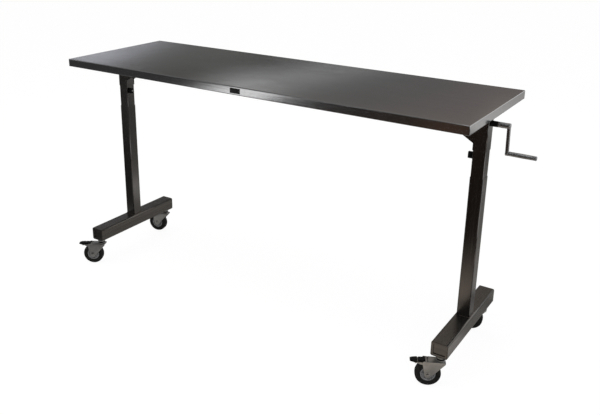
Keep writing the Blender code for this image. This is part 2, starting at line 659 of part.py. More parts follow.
# Casters
flat = 1.0 / cos(pi / WHEEL_SIDES)
for name, turn in CASTER_ANGLES.items():
    end_name, side_name = name.split("_")
    side = -1 if side_name == "left" else 1
    end = -1 if end_name == "front" else 1
    stem_x = TABLE_X + side * COLUMN_X
    stem_y = end * STEM_Y
    head_top = CROWN_UNDER - GAP
    turned(f"{name}_caster_stem", [
        (0.0, CASTER_HEIGHT + FOOT_WALL + STEM_RISE),
        (STEM_RADIUS, CASTER_HEIGHT + FOOT_WALL + STEM_RISE),
        (STEM_RADIUS, CASTER_HEIGHT - GAP),
        (RACE_RADIUS, CASTER_HEIGHT - GAP),
        (RACE_RADIUS, RACE_UNDER),
        (KING_RADIUS, RACE_UNDER),
        (KING_RADIUS, head_top),
        (KING_HEAD_RADIUS, head_top),
        (KING_HEAD_RADIUS, head_top - KING_HEAD_HEIGHT),
        (0.0, head_top - KING_HEAD_HEIGHT),
    ], PLATED_STEEL, sides=20, location=(stem_x, stem_y, 0.0))

    swivel = frame(f"{name}_swivel", (stem_x, stem_y, 0.0), turn)
    fork = add(f"{name}_caster_fork", slab(fork_outline(), -FORK_OUT, FORK_OUT), PLATED_STEEL, parent=swivel)
    cut(fork, block((-0.1, -FORK_IN, 0.0), (0.2, FORK_IN, CROWN_UNDER)))
    cut(fork, block((CROWN_BACK, -FORK_IN, CROWN_UNDER - 0.01), (0.2, FORK_IN, CROWN_TOP + 0.01)))
    weld(fork, rod(RACE_RADIUS, CROWN_TOP - 0.0015, RACE_UNDER - GAP, sides=20))
    cut(fork, rod(KING_RADIUS + GAP, CROWN_UNDER - 0.01, RACE_UNDER + 0.01, sides=16))
    cut(fork, rod(AXLE_RADIUS + GAP, -0.05, 0.05, "Y", (CASTER_TRAIL, WHEEL_RADIUS), 16))

    wheel = frame(f"{name}_wheel_axis", (CASTER_TRAIL, 0.0, WHEEL_RADIUS), parent=swivel)
    lie = (-pi / 2, 0.0, 0.0)
    bolt = FORK_OUT + GAP
    turned(f"{name}_axle_bolt", [
        (0.0, bolt + AXLE_HEAD),
        (AXLE_HEAD_RADIUS - 0.0008, bolt + AXLE_HEAD),
        (AXLE_HEAD_RADIUS, bolt + AXLE_HEAD - 0.0008),
        (AXLE_HEAD_RADIUS, bolt),
        (AXLE_RADIUS, bolt),
        (AXLE_RADIUS, -bolt),
        (AXLE_HEAD_RADIUS, -bolt),
        (AXLE_HEAD_RADIUS, -bolt - AXLE_HEAD + 0.0008),
        (AXLE_HEAD_RADIUS - 0.0008, -bolt - AXLE_HEAD),
        (0.0, -bolt - AXLE_HEAD),
    ], PLATED_STEEL, sides=16, rotation=lie, parent=wheel)

    boss = FORK_IN - GAP
    hub_half = WHEEL_WIDTH / 2 - 0.0025
    hole = AXLE_RADIUS + GAP
    rim = HUB_RADIUS * flat
    rim_in = HUB_RADIUS - HUB_RIM
    turned(f"{name}_wheel_hub", [
        (hole, boss),
        (HUB_BOSS_RADIUS, boss),
        (HUB_BOSS_RADIUS + 0.002, HUB_WEB_HALF),
        (rim_in - 0.002, HUB_WEB_HALF),
        (rim_in, hub_half),
        (rim, hub_half),
        (rim, -hub_half),
        (rim_in, -hub_half),
        (rim_in - 0.002, -HUB_WEB_HALF),
        (HUB_BOSS_RADIUS + 0.002, -HUB_WEB_HALF),
        (HUB_BOSS_RADIUS, -boss),
        (hole, -boss),
    ], GREY_PLASTIC, sides=WHEEL_SIDES, ring=True, rotation=lie, parent=wheel)

    seat = (HUB_RADIUS + GAP) * flat
    tread = WHEEL_RADIUS * flat
    wide = WHEEL_WIDTH / 2
    turned(f"{name}_tyre", [
        (seat, wide - 0.0015),
        (tread - 0.006, wide),
        (tread - 0.0022, wide - 0.0022),
        (tread, wide - 0.007),
        (tread, 0.007 - wide),
        (tread - 0.0022, 0.0022 - wide),
        (tread - 0.006, -wide),
        (seat, 0.0015 - wide),
    ], RUBBER, sides=WHEEL_SIDES, ring=True, rotation=lie, parent=wheel)

    if end < 0:
        pin = (PEDAL_PIVOT_TRAIL, PEDAL_PIVOT_HEIGHT)
        cut(fork, rod(PEDAL_PIN_RADIUS + GAP, -0.05, 0.05, "Y", pin, 12))
        pivot = frame(f"{name}_pedal_axis", (pin[0], 0.0, pin[1]), parent=swivel)
        tip = PEDAL_LENGTH
        pedal = add(f"{name}_brake_pedal", slab([
            (-0.0027, 0.0018),
            (-0.0012, 0.0032),
            (0.45 * tip, 0.0028),
            (0.80 * tip, 0.0002),
            (tip, -0.0035),
            (tip, -0.0112),
            (0.94 * tip, -0.0125),
            (0.60 * tip, -0.0066),
            (0.20 * tip, -0.0026),
            (-0.0016, -0.0022),
            (-0.0027, -0.0010),
        ], -PEDAL_HALF, PEDAL_HALF), BLACK_PLASTIC, parent=pivot)
        weld(pedal, rod(PEDAL_PIN_RADIUS, -FORK_OUT, FORK_OUT, "Y", sides=12))
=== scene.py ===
import json
from math import acos, atan2, cos, hypot, pi, radians, sin

import bpy
import bmesh
from mathutils import Matrix, Vector


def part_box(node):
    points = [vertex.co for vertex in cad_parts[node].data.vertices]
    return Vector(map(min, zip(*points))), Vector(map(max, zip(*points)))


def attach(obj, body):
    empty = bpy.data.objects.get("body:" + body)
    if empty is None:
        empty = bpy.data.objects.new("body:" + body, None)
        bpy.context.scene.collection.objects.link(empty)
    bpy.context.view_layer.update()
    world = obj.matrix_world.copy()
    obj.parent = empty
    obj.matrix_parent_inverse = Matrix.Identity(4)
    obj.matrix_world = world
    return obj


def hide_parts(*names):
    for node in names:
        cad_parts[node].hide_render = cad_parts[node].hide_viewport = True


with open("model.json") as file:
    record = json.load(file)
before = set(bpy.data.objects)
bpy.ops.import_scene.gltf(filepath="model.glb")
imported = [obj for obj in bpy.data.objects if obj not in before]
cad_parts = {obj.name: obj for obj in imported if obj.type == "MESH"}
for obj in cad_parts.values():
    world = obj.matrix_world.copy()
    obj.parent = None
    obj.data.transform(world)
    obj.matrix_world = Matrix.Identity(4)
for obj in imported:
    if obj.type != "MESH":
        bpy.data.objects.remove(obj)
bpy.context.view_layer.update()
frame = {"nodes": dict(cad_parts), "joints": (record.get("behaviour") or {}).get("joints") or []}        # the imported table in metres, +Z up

scene = bpy.context.scene
scene.view_settings.view_transform = "Standard"
joints = {joint["name"]: joint for joint in frame["joints"]}
gap = 0.0003  # running clearance, as in the solids
print("frame loaded with", len(frame["nodes"]), "nodes")


# small tools for settings, objects and node trees
def setAll(thing, **settings):
    for key, value in settings.items():
        setattr(thing, key, value)


def addObject(name, data):
    thing = bpy.data.objects.new(name, data)
    scene.collection.objects.link(thing)
    return thing


def feed(tree, socket, value):  # links a socket, sets a plain value, gives a colour its alpha
    if isinstance(value, bpy.types.NodeSocket):
        tree.links.new(value, socket)
    elif socket.type == "RGBA":
        socket.default_value = (*value, 1.0)
    else:
        socket.default_value = value


def addNode(tree, kind, inputs=None, **settings):
    node = tree.nodes.new(kind)
    setAll(node, **settings)
    for key, value in (inputs or {}).items():
        feed(tree, node.inputs[key], value)
    return node


def newGroup(name, control, outputs):  # each group reads a Vector and one control of its own
    group = bpy.data.node_groups.new(name, "ShaderNodeTree")
    for label, kind, value in (("Vector", "NodeSocketVector", (0, 0, 0)), control):
        group.interface.new_socket(label, in_out="INPUT", socket_type=kind).default_value = value
    for label in outputs:
        group.interface.new_socket(label, in_out="OUTPUT", socket_type="NodeSocketFloat")
    return group, addNode(group, "NodeGroupInput").outputs, addNode(group, "NodeGroupOutput").inputs


def rescale(tree, source, low, high, newLow=0.0, newHigh=1.0):
    inputs = {"Value": source, "From Min": low, "From Max": high, "To Min": newLow, "To Max": newHigh}
    return addNode(tree, "ShaderNodeMapRange", inputs, clamp=True).outputs["Result"]


def combine(tree, operation, first, second):
    return addNode(tree, "ShaderNodeMath", {0: first, 1: second}, operation=operation).outputs[0]


def blendColour(tree, factor, first, second):  # 6, 7 and 2 are the node's colour sockets
    inputs = {"Factor": factor, 6: first, 7: second}
    return addNode(tree, "ShaderNodeMix", inputs, data_type="RGBA").outputs[2]


# drawn-out streaks left by the belt, long in one direction
grainGroup, inside, outside = newGroup("brushedGrain", ("Stretch", "NodeSocketVector", (3, 400, 400)),
                                       ["Grain", "Streak"])
stretched = addNode(grainGroup, "ShaderNodeVectorMath", {0: inside["Vector"], 1: inside["Stretch"]},
                    operation="MULTIPLY")
for label, low, high, inputs in (("Grain", 0.3, 0.7, {"Scale": 1.0, "Detail": 3.0, "Roughness": 0.65}),
                                 ("Streak", 0.35, 0.65, {"Scale": 0.14, "Detail": 2.0, "Roughness": 0.5})):
    inputs["Vector"] = stretched.outputs["Vector"]
    noise = addNode(grainGroup, "ShaderNodeTexNoise", inputs).outputs["Fac"]
    feed(grainGroup, outside[label], rescale(grainGroup, noise, low, high))

# cloudy finger marks, and fine scuffs in patches
marksGroup, inside, outside = newGroup("handlingMarks", ("Size", "NodeSocketFloat", 9.0), ["Smudge", "Scuff"])
cloud = addNode(marksGroup, "ShaderNodeTexNoise", {
    "Vector": inside["Vector"], "Scale": inside["Size"], "Detail": 4.0, "Roughness": 0.6,
    "Distortion": 0.6}).outputs
bent = addNode(marksGroup, "ShaderNodeVectorMath", {0: inside["Vector"], 1: cloud["Color"]}, operation="ADD")
finer = combine(marksGroup, "MULTIPLY", inside["Size"], 2.3)
nicks = addNode(marksGroup, "ShaderNodeTexVoronoi", {"Vector": bent.outputs["Vector"], "Scale": finer},
                feature="DISTANCE_TO_EDGE")
thin = rescale(marksGroup, nicks.outputs["Distance"], 0.0, 0.012, 1.0, 0.0)
patchy = rescale(marksGroup, cloud["Fac"], 0.52, 0.62)
feed(marksGroup, outside["Smudge"], rescale(marksGroup, cloud["Fac"], 0.42, 0.68))
feed(marksGroup, outside["Scuff"], combine(marksGroup, "MULTIPLY", thin, patchy))

# pale dust that settles on what faces up
dustGroup, inside, outside = newGroup("settledDust", ("Amount", "NodeSocketFloat", 0.2), ["Dust"])
facing = addNode(dustGroup, "ShaderNodeNewGeometry").outputs["Normal"]
upward = addNode(dustGroup, "ShaderNodeSeparateXYZ", {"Vector": facing}).outputs["Z"]
speck = addNode(dustGroup, "ShaderNodeTexNoise", {
    "Vector": inside["Vector"], "Scale": 140.0, "Detail": 5.0, "Roughness": 0.7}).outputs["Fac"]
lying = combine(dustGroup, "MULTIPLY", rescale(dustGroup, upward, 0.1, 1.0, 0.15, 1.0),
                rescale(dustGroup, speck, 0.4, 0.75))
feed(dustGroup, outside["Dust"], combine(dustGroup, "MULTIPLY", lying, inside["Amount"]))

# one entry for each finish: the slot its pieces go in, colour range, gloss range, grain direction and marks
satin = dict(slot="satin_tube_steel", grainDepth=0.00005, wave=0.0002, waveSize=7.0, scuff=0.16)
plated = dict(slot="plated_steel", grainDepth=0.00004, scuff=0.25)
blackPlastic = dict(slot="black_plastic", metal=0.0, smudge=0.3, markSize=40.0)
finishLooks = {
    "polishedSheet": dict(
        slot="polished_sheet_steel", dark=(0.425, 0.425, 0.43), light=(0.445, 0.445, 0.45),
        gloss=(0.08, 0.12), stretch=(3, 420, 420), grainDepth=0.00003, wave=0.0003, waveSize=2.6, smudge=0.10,
        markSize=5.0, scuff=0.10, dust=0.03),
    "satinPost": dict(
        satin, dark=(0.150, 0.143, 0.137), light=(0.172, 0.164, 0.157), gloss=(0.16, 0.25),
        stretch=(420, 420, 3), smudge=0.16, markSize=8.0, dust=0.03),
    "satinFoot": dict(
        satin, dark=(0.150, 0.142, 0.133), light=(0.180, 0.170, 0.159), gloss=(0.22, 0.33),
        stretch=(420, 3, 420), grainDepth=0.00006, smudge=0.22, markSize=10.0, scuff=0.30, dust=0.10),
    "satinPlate": dict(
        satin, dark=(0.150, 0.143, 0.138), light=(0.190, 0.182, 0.175), gloss=(0.26, 0.38),
        stretch=(3, 420, 420), smudge=0.18, markSize=9.0, dust=0.02),
    "weldMetal": dict(
        slot="satin_tube_steel", dark=(0.10, 0.085, 0.075), light=(0.17, 0.155, 0.145), gloss=(0.34, 0.52),
        stretch=(240, 240, 240), grainDepth=0.0002, smudge=0.5, markSize=60.0, scuff=0.0, dust=0.08),
    "platedSteel": dict(
        plated, dark=(0.40, 0.40, 0.395), light=(0.52, 0.52, 0.51), gloss=(0.26, 0.40),
        stretch=(190, 190, 190), smudge=0.3, markSize=34.0, dust=0.12),
    "crankSteel": dict(
        plated, dark=(0.40, 0.405, 0.415), light=(0.52, 0.525, 0.535), gloss=(0.18, 0.28),
        stretch=(40, 300, 300), smudge=0.25, markSize=26.0, dust=0.02),
    "oiledSteel": dict(
        slot="machine_steel", dark=(0.16, 0.16, 0.165), light=(0.26, 0.26, 0.265), gloss=(0.25, 0.42),
        stretch=(160, 160, 160), grainDepth=0.00005, smudge=0.4, markSize=30.0, scuff=0.1, dust=0.0),
    "nutBronze": dict(
        dark=(0.40, 0.25, 0.11), light=(0.55, 0.38, 0.19), gloss=(0.28, 0.44), stretch=(120, 120, 300),
        grainDepth=0.00005, smudge=0.3, markSize=25.0, scuff=0.1, dust=0.0),
    "blackMoulding": dict(
        blackPlastic, dark=(0.003, 0.003, 0.0032), light=(0.006, 0.006, 0.0063), shine=0.12,
        gloss=(0.30, 0.44), stretch=(900, 900, 900), grainDepth=0.00010, scuff=0.10, dust=0.015),
    "blackPlate": dict(
        blackPlastic, dark=(0.006, 0.006, 0.0065), light=(0.010, 0.010, 0.0105), shine=0.3,
        gloss=(0.26, 0.36), stretch=(60, 700, 700), grainDepth=0.00003, scuff=0.15, dust=0.05),
    "greyHub": dict(
        slot="grey_plastic", dark=(0.16, 0.16, 0.163), light=(0.23, 0.23, 0.233), metal=0.0, shine=0.3,
        gloss=(0.42, 0.58), stretch=(700, 700, 700), grainDepth=0.00008, smudge=0.4, markSize=45.0, scuff=0.3,
        dust=0.15),
    "tyreRubber": dict(
        slot="tyre_rubber", dark=(0.007, 0.007, 0.0068), light=(0.014, 0.0137, 0.0132), metal=0.0, shine=0.2,
        gloss=(0.55, 0.75), stretch=(500, 500, 500), grainDepth=0.00015, smudge=0.5, markSize=35.0, scuff=0.2,
        dust=0.06),
}
wearBuild = dict(smudgeDim=0.72, smudgeRough=0.25, scuffGain=1.35, scuffLift=0.02, grainStrength=0.5,
                 dustColour=(0.36, 0.34, 0.31), dustRough=0.5)


def makeFinish(name, look):
    wear = wearBuild
    material = bpy.data.materials.new(name)
    material.use_nodes = True
    tree = material.node_tree
    place = addNode(tree, "ShaderNodeTexCoord").outputs["Object"]
    masks = {}
    for group, control, value in ((grainGroup, "Stretch", look["stretch"]),
                                  (marksGroup, "Size", look["markSize"]),
                                  (dustGroup, "Amount", look["dust"])):
        node = addNode(tree, "ShaderNodeGroup", {"Vector": place, control: value}, node_tree=group)
        masks.update({socket.name: socket for socket in node.outputs})
    smudge = combine(tree, "MULTIPLY", masks["Smudge"], look["smudge"])
    scuff = combine(tree, "MULTIPLY", masks["Scuff"], look["scuff"])
    dimmed = tuple(wear["smudgeDim"] * value for value in look["dark"])
    worn = tuple(min(1.0, wear["scuffGain"] * value + wear["scuffLift"]) for value in look["light"])
    colour = blendColour(tree, masks["Streak"], look["dark"], look["light"])
    for amount, tone in ((smudge, dimmed), (scuff, worn), (masks["Dust"], wear["dustColour"])):
        colour = blendColour(tree, amount, colour, tone)
    rough = rescale(tree, masks["Grain"], 0.0, 1.0, *look["gloss"])
    for amount, share in ((smudge, wear["smudgeRough"]), (masks["Dust"], wear["dustRough"])):
        rough = combine(tree, "ADD", rough, combine(tree, "MULTIPLY", amount, share))
    grain = {"Strength": wear["grainStrength"], "Distance": look["grainDepth"], "Height": masks["Grain"]}
    if "wave" in look:  # thin sheet is never quite flat
        swell = addNode(tree, "ShaderNodeTexNoise",
                        {"Vector": place, "Scale": look["waveSize"], "Detail": 0.0})
        wave = {"Strength": 1.0, "Distance": look["wave"], "Height": swell.outputs["Fac"]}
        grain["Normal"] = addNode(tree, "ShaderNodeBump", wave).outputs["Normal"]
    normal = addNode(tree, "ShaderNodeBump", grain).outputs["Normal"]
    for key, value in {"Metallic": look.get("metal", 1.0), "Specular IOR Level": look.get("shine", 0.5),
                       "Base Color": colour, "Roughness": rough, "Normal": normal}.items():
        feed(tree, tree.nodes["Principled BSDF"].inputs[key], value)
    return material


finishes = {name: makeFinish(name, look) for name, look in finishLooks.items()}
print("finishes made:", len(finishes))


# places and turns
def shift(x, y, z):
    return Matrix.Translation((x, y, z))


def turn(angle, axis):
    return Matrix.Rotation(angle, 4, axis)


def moved(shape, matrix):
    shape.transform(matrix)
    return shape


alongX = turn(pi / 2, "Y")  # takes +Z to +X
alongY = turn(-pi / 2, "X")  # takes +Z to +Y
upsideDown = turn(pi, "X")


# shapes
flatShare = 0.15  # width of the loop that keeps a flat flat, as a share of the rounding beside it


def blockShape(low, high):
    shape = bmesh.new()
    bmesh.ops.create_cube(shape, size=1.0)
    low, high = Vector(low), Vector(high)
    bmesh.ops.scale(shape, vec=high - low, verts=shape.verts[:])
    bmesh.ops.translate(shape, vec=(low + high) / 2, verts=shape.verts[:])
    shape.normal_update()
    return shape


def edgesAlong(shape, axis):
    runs = [(edge, edge.verts[1].co - edge.verts[0].co) for edge in shape.edges]
    return [edge for edge, run in runs if abs(run[axis]) > 0.999 * run.length]


def foldEdges(shape):  # edges between two faces, not the open ones
    return [edge for edge in shape.edges if len(edge.link_faces) == 2]


def roundOff(shape, edges, radius, steps=3):
    bmesh.ops.bevel(shape, geom=edges, offset=radius, segments=steps, profile=0.5, affect="EDGES",
                    clamp_overlap=True, material=-1)


def keepFlats(shape, width):  # a narrow loop inside each flat keeps its shading flat
    shape.normal_update()
    flats = [face for face in shape.faces if max(abs(value) for value in face.normal) > 0.99999]
    flats = [face for face in flats if min(edge.calc_length() for edge in face.edges) > 3 * width]
    bmesh.ops.inset_individual(shape, faces=flats, thickness=width, use_even_offset=True)


def softBlock(low, high, radius, steps=3):
    shape = blockShape(low, high)
    roundOff(shape, shape.edges[:], radius, steps)
    keepFlats(shape, flatShare * radius)
    return shape


def tubeShape(low, high, radius, along, steps=5):  # open sleeve, its wall comes from Solidify
    shape = blockShape(low, high)
    ends = [face for face in shape.faces if abs(face.normal[along]) > 0.9]
    bmesh.ops.delete(shape, geom=ends, context="FACES")
    roundOff(shape, edgesAlong(shape, along), radius, steps)
    keepFlats(shape, flatShare * radius)
    return shape


def faceOut(shape):  # every face of a closed shape points outwards
    bmesh.ops.recalc_face_normals(shape, faces=shape.faces[:])
    if shape.calc_volume(signed=True) < 0.0:
        bmesh.ops.reverse_faces(shape, faces=shape.faces[:])
    return shape


def turnedShape(profile, steps=40, ring=False):  # profile of (radius, height) about +Z
    shape = bmesh.new()
    line = [shape.verts.new((radius, 0.0, height)) for radius, height in profile]
    edges = [shape.edges.new(pair) for pair in zip(line, line[1:])]
    if ring:
        edges.append(shape.edges.new((line[-1], line[0])))
    bmesh.ops.spin(shape, geom=line + edges, axis=(0, 0, 1), cent=(0, 0, 0), angle=2 * pi, steps=steps,
                   use_merge=True)
    bmesh.ops.remove_doubles(shape, verts=shape.verts[:], dist=1e-6)
    return faceOut(shape)


def barLine(inner, outer, start, end, chamfer):  # profile of a bar or ring with both rims chamfered
    return [(inner, start), (outer - chamfer, start), (outer, start + chamfer), (outer, end - chamfer),
            (outer - chamfer, end), (inner, end)]


def offsets(x, z, *steps):  # points of an outline, each some millimetres from the same corner
    return [(x + right / 1000, z + up / 1000) for right, up in steps]


def mirrorLine(line, total=0.0):  # the same profile run back from the other end
    return [(radius, total - height) for radius, height in reversed(line)]


def outlineShape(points, low, high):  # an XZ outline drawn out along Y
    shape = bmesh.new()
    face = shape.faces.new([shape.verts.new((x, low, z)) for x, z in points])
    made = bmesh.ops.extrude_face_region(shape, geom=[face])
    far = [item for item in made["geom"] if isinstance(item, bmesh.types.BMVert)]
    bmesh.ops.translate(shape, vec=(0.0, high - low, 0.0), verts=far)
    return faceOut(shape)


def foldedShape(points, half, join, radius, steps):  # two XZ cheeks and the sheet that joins one side
    shape = bmesh.new()
    near, far = [[shape.verts.new((x, y, z)) for x, z in points] for y in (-half, half)]
    cheek = shape.faces.new(near)
    shape.faces.new(far[::-1])
    first, last = join
    shape.faces.new((near[first], near[last], far[last], far[first]))
    bmesh.ops.recalc_face_normals(shape, faces=shape.faces[:])
    shape.normal_update()
    if cheek.normal.y > 0.0:
        bmesh.ops.reverse_faces(shape, faces=shape.faces[:])
    roundOff(shape, foldEdges(shape), radius, steps)
    return shape


def meshFrom(name, shape):
    mesh = bpy.data.meshes.new(name)
    shape.to_mesh(mesh)
    shape.free()
    return mesh


def gather(shapes):
    whole = bmesh.new()
    for shape in shapes:
        part = meshFrom("part", shape)
        whole.from_mesh(part)
        bpy.data.meshes.remove(part)
    return whole


# fastenings, standing on z = 0 and pointing to +Z
boltBuild = dict(washer=0.95, washerTop=0.9, washerEdge=0.0008, washerThick=0.0012, headHigh=0.5,
                 chamfer=0.0005)
rivetSunk = 0.0004


def boltShape(across):  # washer and six-sided head, sized by the width across its flats
    build = boltBuild
    washerOut, thick = build["washer"] * across, build["washerThick"]
    washer = turnedShape([(0.0, 0.0), (washerOut, 0.0), (washerOut, build["washerEdge"]),
                          (build["washerTop"] * across, thick), (0.0, thick)], 28)
    head = bmesh.new()
    corner, height = across / 2 / cos(pi / 6), build["headHigh"] * across
    bmesh.ops.create_cone(head, cap_ends=True, segments=6, radius1=corner, radius2=corner, depth=height)
    bmesh.ops.translate(head, vec=(0, 0, height / 2), verts=head.verts[:])
    roundOff(head, head.edges[:], build["chamfer"], 2)
    bmesh.ops.translate(head, vec=(0, 0, thick), verts=head.verts[:])
    return gather([washer, head])


def rivetShape(radius, height, steps):  # low dome
    dome = [(radius * cos(part * pi / 12), height * sin(part * pi / 12)) for part in range(6)]
    return turnedShape([(0.0, -rivetSunk), (radius, -rivetSunk)] + dome + [(0.0, height)], steps)


def screwShape(profile, steps):  # head with a socket, its profile in millimetres
    return turnedShape(offsets(0.0, 0.0, *profile), steps)


# every shape becomes a piece here: finish, wall, softened edges, the body it rides and the solid it replaces
shadeBuild = dict(sharp=38.0, softer=50.0, edgeSteps=2)


def camelName(node):
    first, *others = node.split("_")
    return first + "".join(word.title() for word in others)


def ship(name, shape, finish, body, node=None, wall=0.0, edge=0.0):
    mesh = meshFrom(name, shape)
    mesh.shade_smooth()
    mesh.set_sharp_from_angle(angle=radians(shadeBuild["sharp"]))
    mesh.materials.append(finishes[finish])
    piece = addObject(name, mesh)
    if wall > 0.0:
        setAll(piece.modifiers.new("wall", "SOLIDIFY"), thickness=wall, offset=-1.0, use_even_offset=True)
    if edge > 0.0:
        setAll(piece.modifiers.new("edge", "BEVEL"), width=edge, segments=shadeBuild["edgeSteps"],
               limit_method="ANGLE", angle_limit=radians(shadeBuild["softer"]), harden_normals=True)
    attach(piece, body)
    if node:
        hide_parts(node)


def shipNode(node, shape, finish, body, wall=0.0, edge=0.0):  # named after the solid it replaces
    ship(camelName(node), shape, finish, body, node, wall, edge)


# table top: one sheet folded down on four sides, corners ground smooth
topBuild = dict(fold=0.0026, foldSteps=6, flatEdge=0.0005, lip=0.014, sheet=0.0015, underArea=0.5)
topLow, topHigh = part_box("table_top")
tableX = (topLow.x + topHigh.x) / 2
topZ = topHigh.z
shape = blockShape(topLow, topHigh)
roundOff(shape, shape.edges[:], topBuild["fold"], topBuild["foldSteps"])
keepFlats(shape, topBuild["flatEdge"])
shape.normal_update()
under = [face for face in shape.faces if face.normal.z < -0.9999]
under = [face for face in under if face.calc_area() > topBuild["underArea"]]
bmesh.ops.inset_region(shape, faces=under, thickness=topBuild["lip"] - topBuild["fold"], use_even_offset=True)
bmesh.ops.delete(shape, geom=under, context="FACES")
shipNode("table_top", shape, "polishedSheet", "top", wall=topBuild["sheet"])

# bare plate on the front edge with its two drive pins
plateBuild = dict(edge=0.00035, pinRadius=0.0011, pinHigh=0.0006, pinInset=0.004, pinProud=0.0001)
low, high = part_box("nameplate")
ship("namePlate", softBlock(low, high, plateBuild["edge"], 2), "blackPlate", "top", "nameplate")
pins = []
for pinX in (low.x + plateBuild["pinInset"], high.x - plateBuild["pinInset"]):
    place = shift(pinX, low.y - plateBuild["pinProud"], (low.z + high.z) / 2) @ turn(pi / 2, "X")
    pins.append(moved(rivetShape(plateBuild["pinRadius"], plateBuild["pinHigh"], 16), place))
ship("namePlatePins", gather(pins), "platedSteel", "top")

# channels under the top, with a row of weld dabs
channelBuild = dict(wall=0.002, bend=0.004, flatEdge=0.0006, weldStep=0.085, weldRadius=0.0042,
                    weldHigh=0.0006, plateHalf=0.062)


def channelPieces(node, along, finish):
    build = channelBuild
    low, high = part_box(node)
    shape = blockShape(low, high)
    openSides = [face for face in shape.faces if face.normal.z > 0.9 or abs(face.normal[along]) > 0.9]
    bmesh.ops.delete(shape, geom=openSides, context="FACES")
    roundOff(shape, foldEdges(shape), build["bend"], 4)
    keepFlats(shape, build["flatEdge"])
    shipNode(node, shape, finish, "top", wall=build["wall"])
    span = high[along] - low[along]
    count = int(span / build["weldStep"])
    middle = (low[1 - along] + high[1 - along]) / 2
    dabs = []
    for number in range(count):
        run = low[along] + (number + 0.5) * span / count
        if along == 1 and abs(run) < build["plateHalf"]:  # the bracket's plate covers these
            continue
        place = (run, middle) if along == 0 else (middle, run)
        dab = rivetShape(build["weldRadius"], build["weldHigh"], 14)
        dabs.append(moved(dab, shift(*place, low.z) @ upsideDown))
    ship(camelName(node) + "Welds", gather(dabs), "weldMetal", "top")


for node in ("front_stiffener", "rear_stiffener"):
    channelPieces(node, 0, "satinPlate")
for node in ("left_cross_channel", "right_cross_channel"):
    channelPieces(node, 1, "satinFoot")
print("top and its channels done")

# legs: feet, columns, brackets, stops
footBuild = dict(corner=0.006, wall=0.0025, capBorder=0.006, capDraft=0.0004, capSunk=0.004, capEdge=0.0007)
columnBuild = dict(corner=0.003, upperCorner=0.0022, upperWall=0.002, lowerWall=0.0012)
weldBuild = dict(size=0.0030, corner=0.0028, cuts=56, bulge=0.035, ripple=0.022, rippleLong=0.0042,
                 wall=0.0008)
bracketBuild = dict(tipDrop=0.139, endDrop=0.081, reach=0.0975, sheet=0.0012, fold=0.003, flatEdge=0.0004,
                    plate=0.004, plateEdge=0.0006, bolt=0.010, boltInX=0.014, boltInY=0.011)
stopBuild = dict(edge=0.0018, screw=[(0, 0.3), (1.2, 0.3), (1.4, 0.7), (3.6, 0.6), (3.9, 0), (0, 0)])


def legSizes(sideName):  # middle of the leg, and half the width of its lower column
    footLow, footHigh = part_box(f"{sideName}_foot")
    low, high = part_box(f"{sideName}_lower_column")
    return (footLow.x + footHigh.x) / 2, (high.x - low.x) / 2


def footPieces(sideName):  # square tube with a recessed plug in each end
    build = footBuild
    foot = f"{sideName}_foot"
    shape = tubeShape(*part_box(foot), build["corner"], 1)
    shipNode(foot, shape, "satinFoot", "base", wall=build["wall"])
    for endName, end in (("front", -1), ("rear", 1)):
        cap = f"{sideName}_{endName}_foot_cap"
        shape = blockShape(*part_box(cap))
        face = [face for face in shape.faces if face.normal.y * end > 0.9]
        bmesh.ops.inset_region(shape, faces=face, thickness=build["capBorder"], use_even_offset=True)
        bmesh.ops.inset_region(shape, faces=face, thickness=build["capDraft"], depth=-build["capSunk"],
                               use_even_offset=True)
        roundOff(shape, edgesAlong(shape, 1), build["corner"] - build["wall"], 4)
        shipNode(cap, shape, "satinPlate", "base", edge=build["capEdge"])


def weldRing(half, under):  # fillet run round the foot of a square post
    build = weldBuild
    size = build["size"]
    shape = bmesh.new()
    bmesh.ops.create_cone(shape, cap_ends=False, segments=4, radius1=(half + size) * 2 ** 0.5,
                          radius2=half * 2 ** 0.5, depth=size)
    shape.transform(shift(0, 0, under + size / 2) @ turn(pi / 4, "Z"))
    roundOff(shape, foldEdges(shape), build["corner"], 3)
    rails = [edge for edge in shape.edges if abs(edge.verts[0].co.z - edge.verts[1].co.z) > size / 2]
    bmesh.ops.subdivide_edges(shape, edges=rails, cuts=3)
    runs = [edge for edge in shape.edges if abs(edge.verts[0].co.z - edge.verts[1].co.z) < 1e-6]
    runs = [edge for edge in runs if edge.calc_length() > half]
    bmesh.ops.subdivide_edges(shape, edges=runs, cuts=build["cuts"])
    for vert in shape.verts:  # ripples of the laid bead
        level = (vert.co.z - under) / size
        crown = sin(pi * min(1.0, max(0.0, level)))
        ripple = sin((vert.co.x + vert.co.y) * 2 * pi / build["rippleLong"])
        push = 1.0 + crown * (build["bulge"] + build["ripple"] * ripple)
        vert.co.x *= push
        vert.co.y *= push
    return shape


def columnPieces(sideName):
    build = columnBuild
    legX, half = legSizes(sideName)
    lower, upper = f"{sideName}_lower_column", f"{sideName}_upper_column"
    shape = tubeShape(*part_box(lower), build["corner"], 2)
    shipNode(lower, shape, "satinPost", "base", wall=build["lowerWall"])
    ring = moved(weldRing(half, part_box(f"{sideName}_foot")[1].z), shift(legX, 0, 0))
    ship(f"{sideName}FootWeld", ring, "weldMetal", "base", wall=weldBuild["wall"])
    shape = tubeShape(*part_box(upper), build["upperCorner"], 2)
    shipNode(upper, shape, "satinPost", "top", wall=build["upperWall"])


